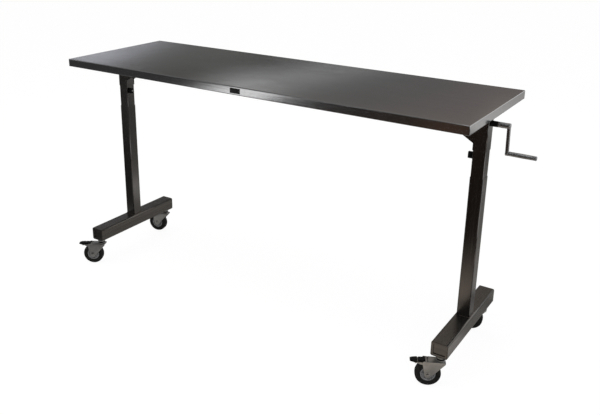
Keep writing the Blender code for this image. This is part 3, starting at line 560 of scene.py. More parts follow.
def bracketPieces(sideName, side):  # cheeks and outer web folded from one sheet, flat plate above
    build = bracketBuild
    bracket = f"{sideName}_top_bracket"
    low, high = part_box(bracket)
    legX, half = legSizes(sideName)
    plateUnder = high.z - build["plate"]
    outX, inX, tipX = legX + side * half, legX - side * half, legX - side * (half + build["reach"])
    outline = [(outX, low.z), (inX, low.z), (inX, topZ - build["tipDrop"]), (tipX, topZ - build["endDrop"]),
               (tipX, plateUnder), (outX, plateUnder)]
    shape = foldedShape(outline, half, (0, -1), build["fold"], 5)
    keepFlats(shape, build["flatEdge"])
    shipNode(bracket, shape, "satinPost", "top", wall=build["sheet"])
    plate = softBlock((low.x, low.y, plateUnder), high, build["plateEdge"], 2)
    ship(f"{sideName}BracketPlate", plate, "satinPlate", "top")
    bolts = []
    for boltX in (low.x + build["boltInX"], high.x - build["boltInX"]):
        for boltY in (low.y + build["boltInY"], high.y - build["boltInY"]):
            bolts.append(moved(boltShape(build["bolt"]), shift(boltX, boltY, plateUnder) @ upsideDown))
    ship(f"{sideName}BracketBolts", gather(bolts), "platedSteel", "top")


def stopPieces(sideName, side):  # travel stop, a black block held by one screw
    stop = f"{sideName}_travel_stop"
    low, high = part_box(stop)
    shipNode(stop, softBlock(low, high, stopBuild["edge"], 4), "blackMoulding", "top")
    faceX = low.x if side > 0 else high.x
    place = shift(faceX, (low.y + high.y) / 2, (low.z + high.z) / 2) @ turn(-side * pi / 2, "Y")
    screw = moved(screwShape(stopBuild["screw"], 24), place)
    ship(f"{sideName}StopScrew", screw, "platedSteel", "top")


for sideName, side in (("left", -1), ("right", 1)):
    footPieces(sideName)
    columnPieces(sideName)
    bracketPieces(sideName, side)
    stopPieces(sideName, side)
print("legs done")

# drive: the cross shaft and its two collars, either side of the hanger
shaftBuild = dict(chamfer=0.0008, collarRadius=0.011, collarWide=0.009, collarEdge=0.0006, collarFit=0.0001,
                  collarOff=0.0042, screwProud=0.0002,
                  screw=[(0, 0), (0.9, 0), (1.1, 0.8), (2.2, 0.8), (2.4, -1), (0, -1)])
crankAt = Vector(joints["crank_turn"]["pos_m"])
gripAt = Vector(joints["grip_spin"]["pos_m"])
shaftLow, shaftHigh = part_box("drive_shaft")
shaftRadius = (shaftHigh.z - shaftLow.z) / 2
shaftBore = shaftRadius + gap


def onShaft(x):  # stands a turned shape on the shaft's line
    return shift(x, crankAt.y, crankAt.z) @ alongX


shape = turnedShape(barLine(0.0, shaftRadius, 0.0, shaftHigh.x - shaftLow.x, shaftBuild["chamfer"]), 36)
shipNode("drive_shaft", moved(shape, onShaft(shaftLow.x)), "crankSteel", "crank")
wide, ringOut = shaftBuild["collarWide"], shaftBuild["collarRadius"]
ringLine = barLine(shaftRadius + shaftBuild["collarFit"], ringOut, 0.0, wide, shaftBuild["collarEdge"])
screwZ = crankAt.z - ringOut + shaftBuild["screwProud"]
collars = []
for start in (tableX - shaftBuild["collarOff"] - wide, tableX + shaftBuild["collarOff"]):
    collars.append(moved(turnedShape(ringLine, 32, True), onShaft(start)))
    place = shift(start + wide / 2, crankAt.y, screwZ) @ upsideDown
    collars.append(moved(screwShape(shaftBuild["screw"], 16), place))
ship("shaftCollars", gather(collars), "oiledSteel", "crank")

# hanger in the middle of the shaft
hangerBuild = dict(edge=0.0008, flange=0.022, flangeIn=0.0005, thick=0.003, bolt=0.008, boltOut=0.012,
                   boltInY=0.009)
low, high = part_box("shaft_hanger")
flangeUnder = high.z - hangerBuild["thick"]
web = softBlock(low, high, hangerBuild["edge"], 2)
flange = softBlock((low.x - hangerBuild["flange"], low.y, flangeUnder),
                   (low.x + hangerBuild["flangeIn"], high.y, high.z), hangerBuild["edge"], 2)
shipNode("shaft_hanger", gather([web, flange]), "satinPlate", "top")
bolts = []
for boltY in (low.y + hangerBuild["boltInY"], high.y - hangerBuild["boltInY"]):
    place = shift(low.x - hangerBuild["boltOut"], boltY, flangeUnder) @ upsideDown
    bolts.append(moved(boltShape(hangerBuild["bolt"]), place))
ship("hangerBolts", gather(bolts), "platedSteel", "top")

# black bush where the shaft leaves the right column, and the cap over its far end
spigot = 0.008  # radius of what goes into the tube
low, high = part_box("crank_bearing")
bushEnd, bushOut = high.x - low.x, (high.z - low.z) / 2
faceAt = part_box("right_lower_column")[1].x + gap - low.x
shape = turnedShape([(shaftBore, bushEnd)] + offsets(bushOut, bushEnd, (-1.2, 0), (0, -1.2))
                    + offsets(bushOut, faceAt, (0, 6), (-0.5, 5.5), (-0.5, 4.5), (0, 4), (0, 0))
                    + [(spigot, faceAt), (spigot, 0.0), (shaftBore, 0.0)], 40, True)
ship("crankBush", moved(shape, onShaft(low.x)), "blackMoulding", "top", "crank_bearing")

low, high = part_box("shaft_end_bearing")
flangeOut = (high.z - low.z) / 2
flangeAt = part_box("left_lower_column")[0].x - gap
thick, spigotEnd = flangeAt - low.x, flangeAt - high.x
boreEnd = flangeAt - shaftLow.x + gap
shape = turnedShape(offsets(0.0, thick, (0, 0), (4, 0), (4.5, -0.6))
                    + offsets(flangeOut, thick, (-1.4, -0.6), (0, -1.8))
                    + [(flangeOut, 0.0), (spigot, 0.0), (spigot, spigotEnd), (shaftBore, spigotEnd),
                       (shaftBore, boreEnd), (0.0, boreEnd)], 36)
place = shift(flangeAt, crankAt.y, crankAt.z) @ turn(-pi / 2, "Y")
ship("shaftEndCap", moved(shape, place), "blackMoulding", "top", "shaft_end_bearing")

# crank handle: hub on the shaft, flat arm with round ends, pin for the grip
crankBuild = dict(hubRadius=0.010, armThick=0.010, armWide=0.014, armInset=0.0004, armRound=0.98,
                  eyeEdge=0.0008, pinRadius=0.0045, pinFrom=0.002, edge=0.0006, screwAt=0.016,
                  screwProud=0.0002, screw=[(0, -0.8), (1.2, -0.8), (1.3, 0.6), (2.6, 0.6), (2.8, -2),
                                            (0, -2)])
gripBuild = dict(radius=0.00825, barrel=0.0006, barrelEnd=0.008, barrelSteps=8)
low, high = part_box("crank_handle")
throw = hypot(gripAt.y - crankAt.y, gripAt.z - crankAt.z)
lean = atan2(gripAt.y - crankAt.y, crankAt.z - gripAt.z)
hubStart, crankEnd = low.x - crankAt.x, high.x - crankAt.x
armOut = gripAt.x - crankAt.x - gap
armIn = armOut - crankBuild["armThick"]
hub, hubLong = crankBuild["hubRadius"], armOut - hubStart
shape = turnedShape([(shaftBore, 0.0)]
                    + offsets(hub, 0.0, (-1, 0), (0, 1), (0, 7.5), (-0.4, 8), (-0.4, 9), (0, 9.5))
                    + offsets(hub, hubLong, (0, -1), (-1, 0))
                    + [(0.0, hubLong), (0.0, armIn - hubStart), (shaftBore, armIn - hubStart)], 40, True)
parts = [moved(shape, shift(hubStart, 0, 0) @ alongX)]
wide = crankBuild["armWide"] / 2
arm = blockShape((armIn, -wide, -throw - wide), (armOut - crankBuild["armInset"], wide, wide))
roundOff(arm, edgesAlong(arm, 0), crankBuild["armRound"] * wide, 8)
parts.append(arm)
eye, pin, endAt = gripBuild["radius"], crankBuild["pinRadius"], crankEnd - armIn
eyeLine = barLine(0.0, eye, -gap, armOut - armIn, crankBuild["eyeEdge"])
knobLine = [(0.0, crankBuild["pinFrom"]), (pin, crankBuild["pinFrom"])] + offsets(pin, endAt, (0, -2.8))
knobLine += offsets(eye, endAt, (-0.3, -2.8), (0, -2.2), (0, -1.2), (-1.4, 0)) + [(0.0, endAt)]
for line in (eyeLine, knobLine):
    parts.append(moved(turnedShape(line, 36), shift(armIn, 0, -throw) @ alongX))
place = shift(hubStart + crankBuild["screwAt"], 0, crankBuild["screwProud"] - hub) @ upsideDown
parts.append(moved(screwShape(crankBuild["screw"], 18), place))
whole = moved(gather(parts), shift(*crankAt) @ turn(lean, "X"))
shipNode("crank_handle", whole, "crankSteel", "crank", edge=crankBuild["edge"])

low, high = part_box("crank_grip")
gripLong, gripBore = high.x - low.x, pin + gap
endLine = [(gripBore, 0.0)]
endLine += offsets(eye, 0.0, (-1.6, 0), (-0.4, 1), (-0.4, 3), (-1.2, 3.4), (-1.2, 4.2), (-0.2, 4.6))
barrel, barrelEnd, steps = gripBuild["barrel"], gripBuild["barrelEnd"], gripBuild["barrelSteps"]
barrelLine = []
for number in range(steps + 1):
    swell = barrel * sin(pi * (number + 0.5) / (steps + 1))
    barrelLine.append((eye - barrel + swell, barrelEnd + (gripLong - 2 * barrelEnd) * number / steps))
shape = turnedShape(endLine + barrelLine + mirrorLine(endLine, gripLong), 40, True)
shipNode("crank_grip", moved(shape, shift(low.x, gripAt.y, gripAt.z) @ alongX), "crankSteel", "grip")
print("drive done")

# casters, each drawn about its own swivel with the wheel trailing along +X
raceBuild = dict(radius=0.017, high=0.0105, king=0.005, head=0.008, stem=0.006, stemIn=0.0215, cupHigh=0.0056)
forkBuild = dict(wall=0.003, clear=0.0023, crownClear=0.0035, crownThick=0.004, crownFront=-0.0175,
                 crownBack=0.0445, noseHigh=0.0062, legBehind=0.022, legDrop=0.010, boss=0.0125, bossSteps=14,
                 fold=0.0044, edge=0.0006)
axleBuild = dict(radius=0.004, tip=0.0055, end=0.003, nut=0.0125, nutFlat=0.75, seat=0.0002)
wheelBuild = dict(wide=0.029, tyreDeep=0.0195, hubIn=0.0025, web=0.0065, boss=0.0125, ribs=6, ribHalf=0.0011,
                  ribLap=0.001, ribShort=0.004, ribDrop=0.0012, ribEdge=0.0006, treadEdge=0.0075,
                  treadRound=0.0073, shoulder=0.0065, shoulderSteps=7)
pedalBuild = dict(length=0.062, behind=0.006, rise=0.0002, tipStart=0.56, tipTaper=0.38, heelWide=0.70,
                  padEdge=0.0008, padIn=0.0004, bars=4, barFirst=0.64, barStep=0.075, barHalf=0.0010,
                  barInset=0.0030, barLevel=0.0028, barFall=0.0002, barUnder=0.0014, barProud=0.0006,
                  barEdge=0.0005, leverIn=0.0002, flange=0.0012, pin=0.002, edge=0.0004)
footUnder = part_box("left_foot")[0].z
wheelHalf = wheelBuild["wide"] / 2
forkIn = wheelHalf + forkBuild["clear"]
forkOut = forkIn + forkBuild["wall"]


def casterSpot(name):  # where a caster stands, and the heights its pieces share
    stem = Vector(joints[f"{name}_swivel"]["pos_m"])
    axle = Vector(joints[f"{name}_roll"]["pos_m"])
    trail = hypot(axle.x - stem.x, axle.y - stem.y)
    place = shift(stem.x, stem.y, 0.0) @ turn(atan2(axle.y - stem.y, axle.x - stem.x), "Z")
    crownUnder = 2 * axle.z + forkBuild["crownClear"]
    return dict(place=place, trail=trail, radius=axle.z, atAxle=place @ shift(trail, 0.0, axle.z),
                crownUnder=crownUnder, crownTop=crownUnder + forkBuild["crownThick"])


def swivelPieces(name, spot):
    race, king, head, stem = [raceBuild[key] for key in ("radius", "king", "head", "stem")]
    raceTop, raceUnder = footUnder - gap, footUnder - gap - raceBuild["high"]
    stemTop, headTop = footUnder + raceBuild["stemIn"], spot["crownUnder"] - gap
    # upper race, king pin and the stem that goes up into the foot
    stemLine = [(0.0, stemTop)] + offsets(stem, stemTop, (-1, 0), (0, -1)) + [(stem, raceTop)]
    stemLine += offsets(race, raceTop, (-4, 0)) + offsets(race, footUnder, (-2.2, -1.2), (-1.2, -4.5))
    stemLine += offsets(race, raceUnder, (-0.4, 3.2), (0, 2.2), (0, 0.8), (-0.6, 0)) + [(king, raceUnder)]
    stemLine += [(king, headTop)] + offsets(head, headTop, (0, 0), (0, -2.7), (-1, -3.6))
    stemLine += offsets(0.0, headTop, (0, -3.6))
    shape = moved(turnedShape(stemLine, 48), spot["place"])
    shipNode(f"{name}_caster_stem", shape, "platedSteel", "base")
    # lower race, a pressed cup on the crown, and the black dust ring above it, whose black also paints shade
    # into the gap between the races
    bore, cupTop, crownTop = king + gap, raceUnder - gap, spot["crownTop"]
    cupEdge = crownTop + raceBuild["cupHigh"]
    cupLine = [(bore, crownTop)] + offsets(race, crownTop, (-2.2, 0), (-0.8, 1))
    cupLine += offsets(race, cupEdge, (0, -1.6), (0, -0.6), (-0.6, 0), (-5, 0), (-5.6, 0.6))
    cupLine += offsets(race, cupTop, (-5.6, 0)) + [(bore, cupTop)]
    sealShadeLine = offsets(race, cupEdge, (-5.3, 0.8), (-2, 0.8), (-1.4, 1.4))
    sealShadeLine += offsets(race, cupTop, (-2.2, -1.6), (-3, -0.6), (-5.3, -0.6))
    for label, line, finish in (("LowerRace", cupLine, "platedSteel"),
                                ("DustRing", sealShadeLine, "blackMoulding")):
        shape = moved(turnedShape(line, 48, True), spot["place"])
        ship(camelName(name) + label, shape, finish, f"{name}_caster")


def tangentTurn(point, centre, radius, side):  # where a line from the point touches the circle
    across, up = point[0] - centre[0], point[1] - centre[1]
    return (atan2(up, across) + side * acos(radius / hypot(across, up))) % (2 * pi)


def forkPiece(name, spot):  # folded from one plate, its legs drawn in to a boss round the axle
    build = forkBuild
    axle, boss, crownTop = (spot["trail"], spot["radius"]), build["boss"], spot["crownTop"]
    legBack = spot["trail"] + build["legBehind"]
    frontCorner = (build["crownFront"], crownTop - build["noseHigh"])
    backCorner = (legBack, crownTop - build["legDrop"])
    first = tangentTurn(frontCorner, axle, boss, 1)
    last = tangentTurn(backCorner, axle, boss, -1)
    outline = [(build["crownBack"], crownTop), (build["crownFront"], crownTop), frontCorner]
    for number in range(build["bossSteps"] + 1):
        angle = first + (last - first) * number / build["bossSteps"]
        outline.append((axle[0] + boss * cos(angle), axle[1] + boss * sin(angle)))
    outline += [backCorner] + offsets(legBack, crownTop, (0, -5), (-1.5, -1.5), (-5, 0))
    shape = moved(foldedShape(outline, forkOut, (0, 1), build["fold"], 4), spot["place"])
    shipNode(f"{name}_caster_fork", shape, "platedSteel", f"{name}_caster", build["wall"], build["edge"])


def axlePiece(name, spot):  # bolt with head, nut and washers
    build = axleBuild
    bolt, tip, end = build["radius"], -forkOut - build["tip"], forkOut + build["end"]
    rod = turnedShape([(0.0, tip)] + offsets(bolt, tip, (-0.5, 0), (0, 0.5)) + [(bolt, end), (0.0, end)], 24)
    parts = [moved(rod, alongY)]
    for side in (-1, 1):
        seatY = side * (forkOut + build["seat"])
        nut = moved(boltShape(build["nut"]), shift(0, seatY, 0) @ turn(-side * pi / 2, "X"))
        bmesh.ops.scale(nut, vec=(1, build["nutFlat"], 1), space=shift(0, -seatY, 0), verts=nut.verts[:])
        parts.append(nut)
    shape = moved(gather(parts), spot["atAxle"])
    shipNode(f"{name}_axle_bolt", shape, "platedSteel", f"{name}_caster")


def wheelPieces(name, spot):
    build = wheelBuild
    hub, hubHalf = spot["radius"] - build["tyreDeep"], wheelHalf - build["hubIn"]
    web, boss, bossEnd = build["web"], build["boss"], forkIn - gap
    # hub with ribs between boss and rim
    hubLine = [(axleBuild["radius"] + gap, bossEnd)] + offsets(boss, bossEnd, (-1.2, 0), (0, -1.2))
    hubLine += offsets(boss, web, (1.2, 1), (2.6, 0)) + offsets(hub, web, (-7, 0), (-5.6, 1))
    hubLine += offsets(hub, hubHalf, (-4.4, -0.8), (-3.6, 0), (-0.6, 0), (0, -0.6))
    parts = [moved(turnedShape(hubLine + mirrorLine(hubLine), 56, True), alongY)]
    ribLow = (boss - build["ribLap"], -build["ribHalf"], web - build["ribLap"])
    ribHigh = (hub - build["ribShort"], build["ribHalf"], hubHalf - build["ribDrop"])
    for flip in (pi, 0.0):
        for number in range(build["ribs"]):
            place = alongY @ turn(flip, "X") @ turn(2 * pi * number / build["ribs"], "Z")
            parts.append(moved(softBlock(ribLow, ribHigh, build["ribEdge"], 2), place))
    shipNode(f"{name}_wheel_hub", moved(gather(parts), spot["atAxle"]), "greyHub", f"{name}_wheel")
    # tyre with round shoulders, a moulded line on the wall and two fine grooves
    seat, tread, shoulder = hub + gap, spot["radius"], build["shoulder"]
    tyreLine = offsets(seat, wheelHalf, (0, -2.2), (1, -1.2), (4, -0.4), (4.8, -1), (5.6, -1), (6.4, -0.2))
    for number in range(build["shoulderSteps"] + 1):
        angle = pi / 2 * number / build["shoulderSteps"]
        tyreLine.append((tread - build["treadEdge"] + build["treadRound"] * sin(angle),
                         wheelHalf - shoulder + shoulder * cos(angle)))
    tyreLine += offsets(tread, 0.0, (-0.1, 6.2), (-0.9, 5.8), (-0.9, 5.2), (0, 4.8))
    shape = moved(turnedShape(tyreLine + mirrorLine(tyreLine), 72, True), spot["atAxle"] @ alongY)
    shipNode(f"{name}_tyre", shape, "tyreRubber", f"{name}_wheel")


def pedalPieces(name, spot):
    build = pedalBuild
    long, half, brake = build["length"], forkIn - gap, f"{name}_brake"
    atPivot = spot["place"] @ shift(spot["trail"] + build["behind"], 0.0, spot["crownUnder"] + build["rise"])
    tipStart = build["tipStart"] * long

    def taper(x):
        return 1.0 - build["tipTaper"] * (x - tipStart) / (long - tipStart)

    def along(*steps):  # shares of the length, with heights in millimetres
        return [(share * long, up / 1000) for share, up in steps]

    # tapered tip pad, and a narrower heel pad that stands higher
    padHalf, heelHalf = half - build["padIn"], build["heelWide"] * half
    tipLine = along((build["tipStart"], 2.2), (0.60, 3.0), (0.85, 2.8))
    tipLine += offsets(long, 0.0, (-0.6, 1.2), (-0.2, -1.6))
    tipLine += along((0.94, -3.4), (0.66, -5.6), (build["tipStart"], -5.0))
    tipPad = outlineShape(tipLine, -padHalf, padHalf)
    for corner in tipPad.verts:
        corner.co.y *= taper(corner.co.x)
    heelLine = along((0.12, 4.2), (0.15, 5.2), (0.46, 5.2), (0.52, 3.6), (0.52, -1.0), (0.12, -0.6))
    pads = [tipPad, outlineShape(heelLine, -heelHalf, heelHalf)]
    for pad in pads:
        roundOff(pad, pad.edges[:], build["padEdge"], 3)
    for number in range(build["bars"]):  # grip bars across the tip
        at = (build["barFirst"] + build["barStep"] * number) * long
        level = build["barLevel"] - build["barFall"] * number
        reach = half * taper(at) - build["barInset"]
        low = (at - build["barHalf"], -reach, level - build["barUnder"])
        high = (at + build["barHalf"], reach, level + build["barProud"])
        pads.append(softBlock(low, high, build["barEdge"], 2))
    shipNode(f"{name}_brake_pedal", moved(gather(pads), atPivot), "blackMoulding", brake)
    # metal lever with side flanges curved down beside the tyre, and its pin
    leverHalf, flange = half - build["leverIn"], build["flange"]
    leverLine = offsets(0.0, 0.0, (-1.6, -2.2), (-2.6, -1.0), (-2.6, 1.2), (-1.2, 2.2))
    leverLine += along((0.09, 2.2), (0.12, -0.6), (0.58, -1.2), (0.70, -4.0), (0.70, -7.0), (0.58, -6.1),
                       (0.20, -2.6))
    flangeLine = along((0.10, -1.4), (0.56, -1.4), (0.56, -4.0), (0.52, -6.8), (0.46, -9.0), (0.38, -10.4),
                       (0.28, -11.0), (0.10, -11.0))
    metal = [outlineShape(leverLine, -leverHalf, leverHalf)]
    for low in (-leverHalf, leverHalf - flange):
        metal.append(outlineShape(flangeLine, low, low + flange))
    pinLine = offsets(0.0, -forkOut, (0, -0.6), (1.2, -0.6)) + [(build["pin"], -forkOut)]
    metal.append(moved(turnedShape(pinLine + mirrorLine(pinLine), 18), alongY))
    lever = moved(gather(metal), atPivot)
    ship(camelName(name) + "BrakeLever", lever, "platedSteel", brake, edge=build["edge"])


for name in ("front_left", "front_right", "rear_left", "rear_right"):
    spot = casterSpot(name)
    swivelPieces(name, spot)
    forkPiece(name, spot)
    axlePiece(name, spot)
    wheelPieces(name, spot)
    if name.startswith("front"):
        pedalPieces(name, spot)
print("casters done")

# machine parts inside the columns keep their CAD shape
keptParts = dict(drive_pinion="oiledSteel", screw_gear="oiledSteel", lift_screw="oiledSteel",
                 screw_bearing="oiledSteel", nut_tube="nutBronze")
for part, finish in keptParts.items():
    for sideName in ("left", "right"):
        for slot in frame["nodes"][f"{sideName}_{part}"].material_slots:
            slot.material = finishes[finish]

# camera at the photo's place, measured from the middle of the work face
cameraBuild = dict(place=(1.63964, -2.46886, 0.63959), spin=(0.31346014, 0.58253784, 0.10380881),
                   focal=739.387, centre=(277.45, 156.96), image=(600, 415), sensor=36.0)
spinAxis = Vector(cameraBuild["spin"])
looking = Matrix.Rotation(spinAxis.length, 3, spinAxis.normalized())
looking = looking @ Matrix(((1, 0, 0), (0, 0, -1), (0, 1, 0)))
view = Matrix((looking[0], -looking[1], -looking[2])).transposed().to_4x4()
view.translation = Vector(cameraBuild["place"]) + Vector((tableX, 0.0, topZ))
imageWide, imageHigh = cameraBuild["image"]
lens = bpy.data.cameras.new("photoCamera")
setAll(lens, sensor_fit="HORIZONTAL", sensor_width=cameraBuild["sensor"],
       lens=cameraBuild["focal"] * cameraBuild["sensor"] / imageWide,
       shift_x=(imageWide / 2 - cameraBuild["centre"][0]) / imageWide,
       shift_y=(cameraBuild["centre"][1] - imageHigh / 2) / imageWide)
scene.camera = addObject("photoCamera", lens)
scene.camera.matrix_world = view

# studio: white surround, pale floor, soft lamps, and glowing cards that show only in the steel's gloss, where
# their tones paint reflections
studioBuild = dict(surround=0.55, floorTone=(0.8, 0.8, 0.8), floorWhite=0.86, floorGlow=1.08, floorReach=40,
                   floorZ=-0.0004, left=-14, right=9, front=-9, back=14, high=6)
canopyBuild = dict(front=1.9, right=1.3, overTop=1.0)
sheenBuild = dict(right=5, back=9, z=0.0005)
crankCard = dict(low=(0.49, -1.5, 2.6), high=(0.74, 0.25, 2.6))
lampLooks = {"overheadSoft": dict(place=(-0.4, -0.6, 3.4), aim=(0, 0, 0.6), size=3.0, power=55.0),
             "frontSoft": dict(place=(2.6, -3.2, 2.2), aim=(0, 0, 0.5), size=1.8, power=28.0)}
white = (1.0, 1.0, 1.0)


def seenDirect(tree):  # 1 for camera, mirror and glass rays
    path = addNode(tree, "ShaderNodeLightPath")
    mirror = combine(tree, "MAXIMUM", path.outputs["Is Camera Ray"], path.outputs["Is Glossy Ray"])
    return combine(tree, "MAXIMUM", mirror, path.outputs["Is Transmission Ray"])


def stagePlane(name, low, high, material):  # a level or upright sheet between two opposite corners
    shape = bmesh.new()
    for corner in (low, (high[0], *low[1:]), high, (low[0], *high[1:])):
        shape.verts.new(corner)
    shape.faces.new(shape.verts)
    mesh = meshFrom(name, shape)
    mesh.materials.append(material)
    plane = addObject(name, mesh)
    return plane


def bareMaterial(name):
    material = bpy.data.materials.new(name)
    material.use_nodes = True
    tree = material.node_tree
    tree.nodes.remove(tree.nodes["Principled BSDF"])
    return material, tree, tree.nodes["Material Output"].inputs["Surface"]


scene.world = bpy.data.worlds.new("studio")
scene.world.use_nodes = True
tree = scene.world.node_tree
sky = tree.nodes["Background"].inputs
feed(tree, sky["Color"], white)
feed(tree, sky["Strength"], rescale(tree, seenDirect(tree), 0.0, 1.0, studioBuild["surround"], 1.0))

floorPaint, tree, surface = bareMaterial("floorPaint")
matt = addNode(tree, "ShaderNodeBsdfDiffuse", {"Color": studioBuild["floorTone"]}).outputs["BSDF"]
glow = addNode(tree, "ShaderNodeEmission", {"Color": white, "Strength": studioBuild["floorGlow"]})
seen = rescale(tree, seenDirect(tree), 0.0, 1.0, 0.0, studioBuild["floorWhite"])
paint = addNode(tree, "ShaderNodeMixShader", {"Fac": seen, 1: matt, 2: glow.outputs["Emission"]})
feed(tree, surface, paint.outputs["Shader"])
reach, floorZ = studioBuild["floorReach"], studioBuild["floorZ"]
stagePlane("floor", (-reach, -reach, floorZ), (reach, reach, floorZ), floorPaint)


# a card is a glowing plane seen only in gloss, its tones painted reflections laid over one another, each
# where all its fades are up
def newCard(name):
    material, tree, surface = bareMaterial(name)
    glow = addNode(tree, "ShaderNodeEmission")
    feed(tree, surface, glow.outputs["Emission"])
    place = addNode(tree, "ShaderNodeTexCoord").outputs["Object"]
    split = addNode(tree, "ShaderNodeSeparateXYZ", {"Vector": place}).outputs
    return dict(name=name, material=material, tree=tree, glow=glow.inputs["Color"],
                axes={axis: split[axis] for axis in "XYZ"})


def leanAxis(card, label, slope, middle=0.0):  # X read along lines that lean with Y
    tree, axes = card["tree"], card["axes"]
    away = combine(tree, "SUBTRACT", axes["Y"], middle)
    axes[label] = combine(tree, "SUBTRACT", axes["X"], combine(tree, "MULTIPLY", away, slope))


def fadeMask(card, *fades):  # a fade: axis, start, end, and its two levels if not 0 and 1
    masks = [rescale(card["tree"], card["axes"][axis], *levels) for axis, *levels in fades]
    whole = masks[0]
    for mask in masks[1:]:
        whole = combine(card["tree"], "MULTIPLY", whole, mask)
    return whole


def layTone(card, below, tone, *fades):
    return blendColour(card["tree"], fadeMask(card, *fades), below, tone)


def toneRun(card, axis, low, high, stops):
    along = rescale(card["tree"], card["axes"][axis], low, high)
    node = addNode(card["tree"], "ShaderNodeValToRGB", {"Fac": along})
    band = node.color_ramp
    band.interpolation = "EASE"
    while len(band.elements) < len(stops):
        band.elements.new(0.5)
    for element, (at, colour) in zip(band.elements, stops):
        element.position = (at - low) / (high - low)
        element.color = (*colour, 1.0)
    return node.outputs["Color"]


def hangCard(card, tone, low, high):
    feed(card["tree"], card["glow"], tone)
    plane = stagePlane(card["name"], low, high, card["material"])
    for ray in ("camera", "diffuse", "transmission", "volume_scatter", "shadow"):
        setattr(plane, f"visible_{ray}", False)


left, right, front, back, roof = [studioBuild[key] for key in ("left", "right", "front", "back", "high")]
canopyFront, canopyRight, canopyZ = canopyBuild["front"], canopyBuild["right"], topZ + canopyBuild["overTop"]

# canopy card behind, low enough for the top to mirror it: its painted reflection tones run along the table
card = newCard("canopy")
leanAxis(card, "leaning", 0.15, 3.8)
leanAxis(card, "sideways", -0.36, 3.8)
tone = toneRun(card, "leaning", -5.7, 1.3, [
    (-3.90, (0.15, 0.15, 0.146)), (-3.50, (0.105, 0.105, 0.10)), (-3.05, (0.055, 0.055, 0.052)),
    (-2.78, (0.12, 0.12, 0.12)), (-2.52, (0.36, 0.362, 0.362)), (-2.26, (0.385, 0.387, 0.387)),
    (-1.98, (0.20, 0.20, 0.20)), (-1.66, (0.135, 0.133, 0.132)), (-1.03, (0.152, 0.144, 0.141)),
    (-0.26, (0.200, 0.175, 0.168)), (1.3, (0.21, 0.178, 0.165))])
# painted reflections: brighter towards the front of the top, pale at its left end, warm over the rear half of
# the right foot
tone = layTone(card, tone, (1.2, 1.22, 1.22), ("Y", 3.1, 3.9, 0.40, 0.0), ("leaning", -3.15, -2.45),
               ("leaning", -2.0, -2.4))
tone = layTone(card, tone, (0.70, 0.71, 0.78), ("sideways", -4.4, -5.0), ("X", -5.9, -5.3))
tone = layTone(card, tone, (0.42, 0.38, 0.33), ("X", -0.24, -0.16), ("Y", 3.8, 3.5))
footReflection = layTone(card, (0.10, 0.099, 0.097), (0.27, 0.24, 0.21), ("X", -4.0, -0.4))  # painted reflection on the feet, front halves
hangCard(card, layTone(card, footReflection, tone, ("Y", 2.7, 3.0)),
         (left, canopyFront, canopyZ), (canopyRight, back, canopyZ))
# header: an upright card on the canopy's front edge, seen only in gloss, its painted reflection pale on the
# left
card = newCard("header")
hangCard(card, layTone(card, (0.13, 0.129, 0.127), (0.60, 0.57, 0.53), ("X", -2.2, -0.4)),
         (left, canopyFront, canopyZ), (canopyRight, canopyFront, roof))

# painted reflection tones on a floor-level card behind the front feet: they light the end face and the
# right-hand sides of the legs
card = newCard("floorSheen")
leanAxis(card, "slant", 0.304)
rightFloorReflection = toneRun(card, "Y", 0.4, 2.6, [
    (0.5, (0.48, 0.465, 0.45)), (0.85, (0.40, 0.385, 0.37)), (1.27, (0.31, 0.30, 0.285)),
    (1.87, (0.66, 0.64, 0.62)), (2.4, (0.29, 0.28, 0.27))])
# painted reflections on the right column, then on the end face of the top
behind = layTone(card, (0.31, 0.30, 0.285), rightFloorReflection, ("X", 0.98, 1.03), ("Y", 0.48, 0.54))
behind = layTone(card, behind, (0.66, 0.65, 0.64), ("Y", 2.3, 2.8), ("Y", 3.2, 4.4, 1.0, 0.45),
                 ("X", 1.6, 1.85, 0.1, 1.0))
# painted reflection: the left column darkens high up, but not by the strip of floor that the right column
# mirrors
card["axes"]["strip"] = fadeMask(card, ("slant", 0.72, 0.80), ("slant", 0.98, 0.90))
behind = layTone(card, behind, (0.12, 0.115, 0.11), ("Y", 0.7, 1.7), ("Y", 3.05, 2.8),
                 ("strip", 1.0, 0.0))
besideFootReflection = toneRun(card, "Y", -0.2, 0.6, [
    (-0.14, (0.24, 0.235, 0.225)), (0.0, (0.52, 0.50, 0.48)), (0.09, (0.48, 0.465, 0.45)),
    (0.18, (0.29, 0.28, 0.265)), (0.36, (0.26, 0.25, 0.24)), (0.52, (0.13, 0.125, 0.12))])
# painted reflections on the side of the right foot, then a painted glint low on the left column
behind = layTone(card, behind, besideFootReflection, ("X", 0.70, 0.82), ("Y", 0.54, 0.46))
behind = layTone(card, behind, (1.05, 1.04, 1.02), ("Y", 0.44, 0.56), ("Y", 0.76, 0.62), ("X", 0.05, -0.05),
                 ("X", -0.50, -0.40))

# painted reflection tones on the floor-level card in front, dark but for the pale patch that lights the
# middle of the front edge
ahead = toneRun(card, "X", -4.0, 1.0, [
    (-4.0, (0.060, 0.059, 0.060)), (-2.0, (0.060, 0.058, 0.057)), (-1.2, (0.045, 0.040, 0.037)),
    (-0.75, (0.045, 0.036, 0.030)), (-0.4, (0.10, 0.060, 0.042)), (-0.05, (0.045, 0.034, 0.029)),
    (1.0, (0.028, 0.023, 0.020))])
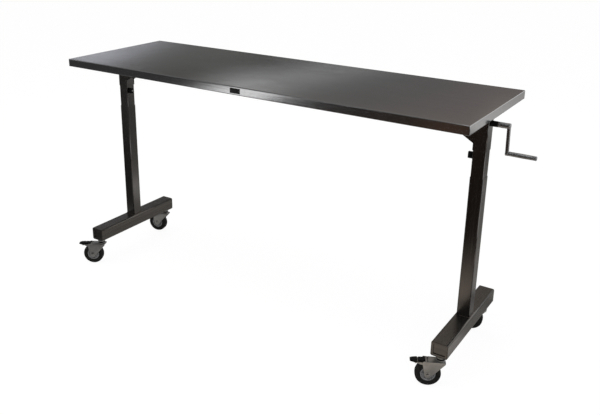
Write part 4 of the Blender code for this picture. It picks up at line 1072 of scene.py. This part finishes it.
# painted reflections on the front ends of the feet, the front left fork, the front of the left column, and
# the pale patch
nearReflection = layTone(card, (0.055, 0.053, 0.051), (0.58, 0.51, 0.44), ("X", -0.9, 0.1))
ahead = layTone(card, ahead, nearReflection, ("Y", -0.95, -0.60))
ahead = layTone(card, ahead, (0.27, 0.262, 0.255), ("X", -1.08, -1.0), ("X", -0.70, -0.82),
                ("Y", -0.56, -0.48))
ahead = layTone(card, ahead, (0.11, 0.11, 0.11), ("Y", -3.1, -2.7), ("X", -2.2, -2.6))
ahead = layTone(card, ahead, (1.65, 1.65, 1.65), ("X", -2.93, -2.58), ("X", -2.05, -2.13), ("Y", -2.8, -3.1))
hangCard(card, layTone(card, ahead, behind, ("Y", -0.42, -0.30)),
         (left, front, sheenBuild["z"]), (sheenBuild["right"], sheenBuild["back"], sheenBuild["z"]))

# dim wall cards front and back, and a ceiling card that is pale on the left, all seen only in gloss as
# painted reflections
for name, lowTone, highTone, wallRight, wallY in (
        ("frontWall", (0.055, 0.053, 0.052), (0.26, 0.26, 0.26), right, front),
        ("backWall", (0.16, 0.155, 0.15), (0.20, 0.20, 0.20), canopyRight, back)):
    card = newCard(name)
    tone = layTone(card, lowTone, highTone, ("Z", 0.3, 3.5))
    hangCard(card, tone, (left, wallY, 0), (wallRight, wallY, roof))
card = newCard("ceiling")
tone = toneRun(card, "X", -6.0, 3.0, [
    (-6.0, (0.30, 0.30, 0.30)), (-3.4, (0.26, 0.26, 0.26)), (-2.2, (0.16, 0.16, 0.16)),
    (-1.0, (0.10, 0.10, 0.10)), (3.0, (0.10, 0.10, 0.10))])
hangCard(card, tone, (left, front, roof), (right, canopyFront, roof))
# a bright strip card overhead, seen only in gloss, paints a highlight on the crank
hangCard(newCard("crankLight"), (1.1, 1.1, 1.1), **crankCard)

for name, look in lampLooks.items():
    lamp = bpy.data.lights.new(name, "AREA")
    setAll(lamp, energy=look["power"], size=look["size"])
    aim = Vector(look["aim"]) - Vector(look["place"])
    setAll(addObject(name, lamp), location=look["place"], visible_glossy=False,
           rotation_euler=aim.to_track_quat("-Z", "Y").to_euler())
print("studio done")
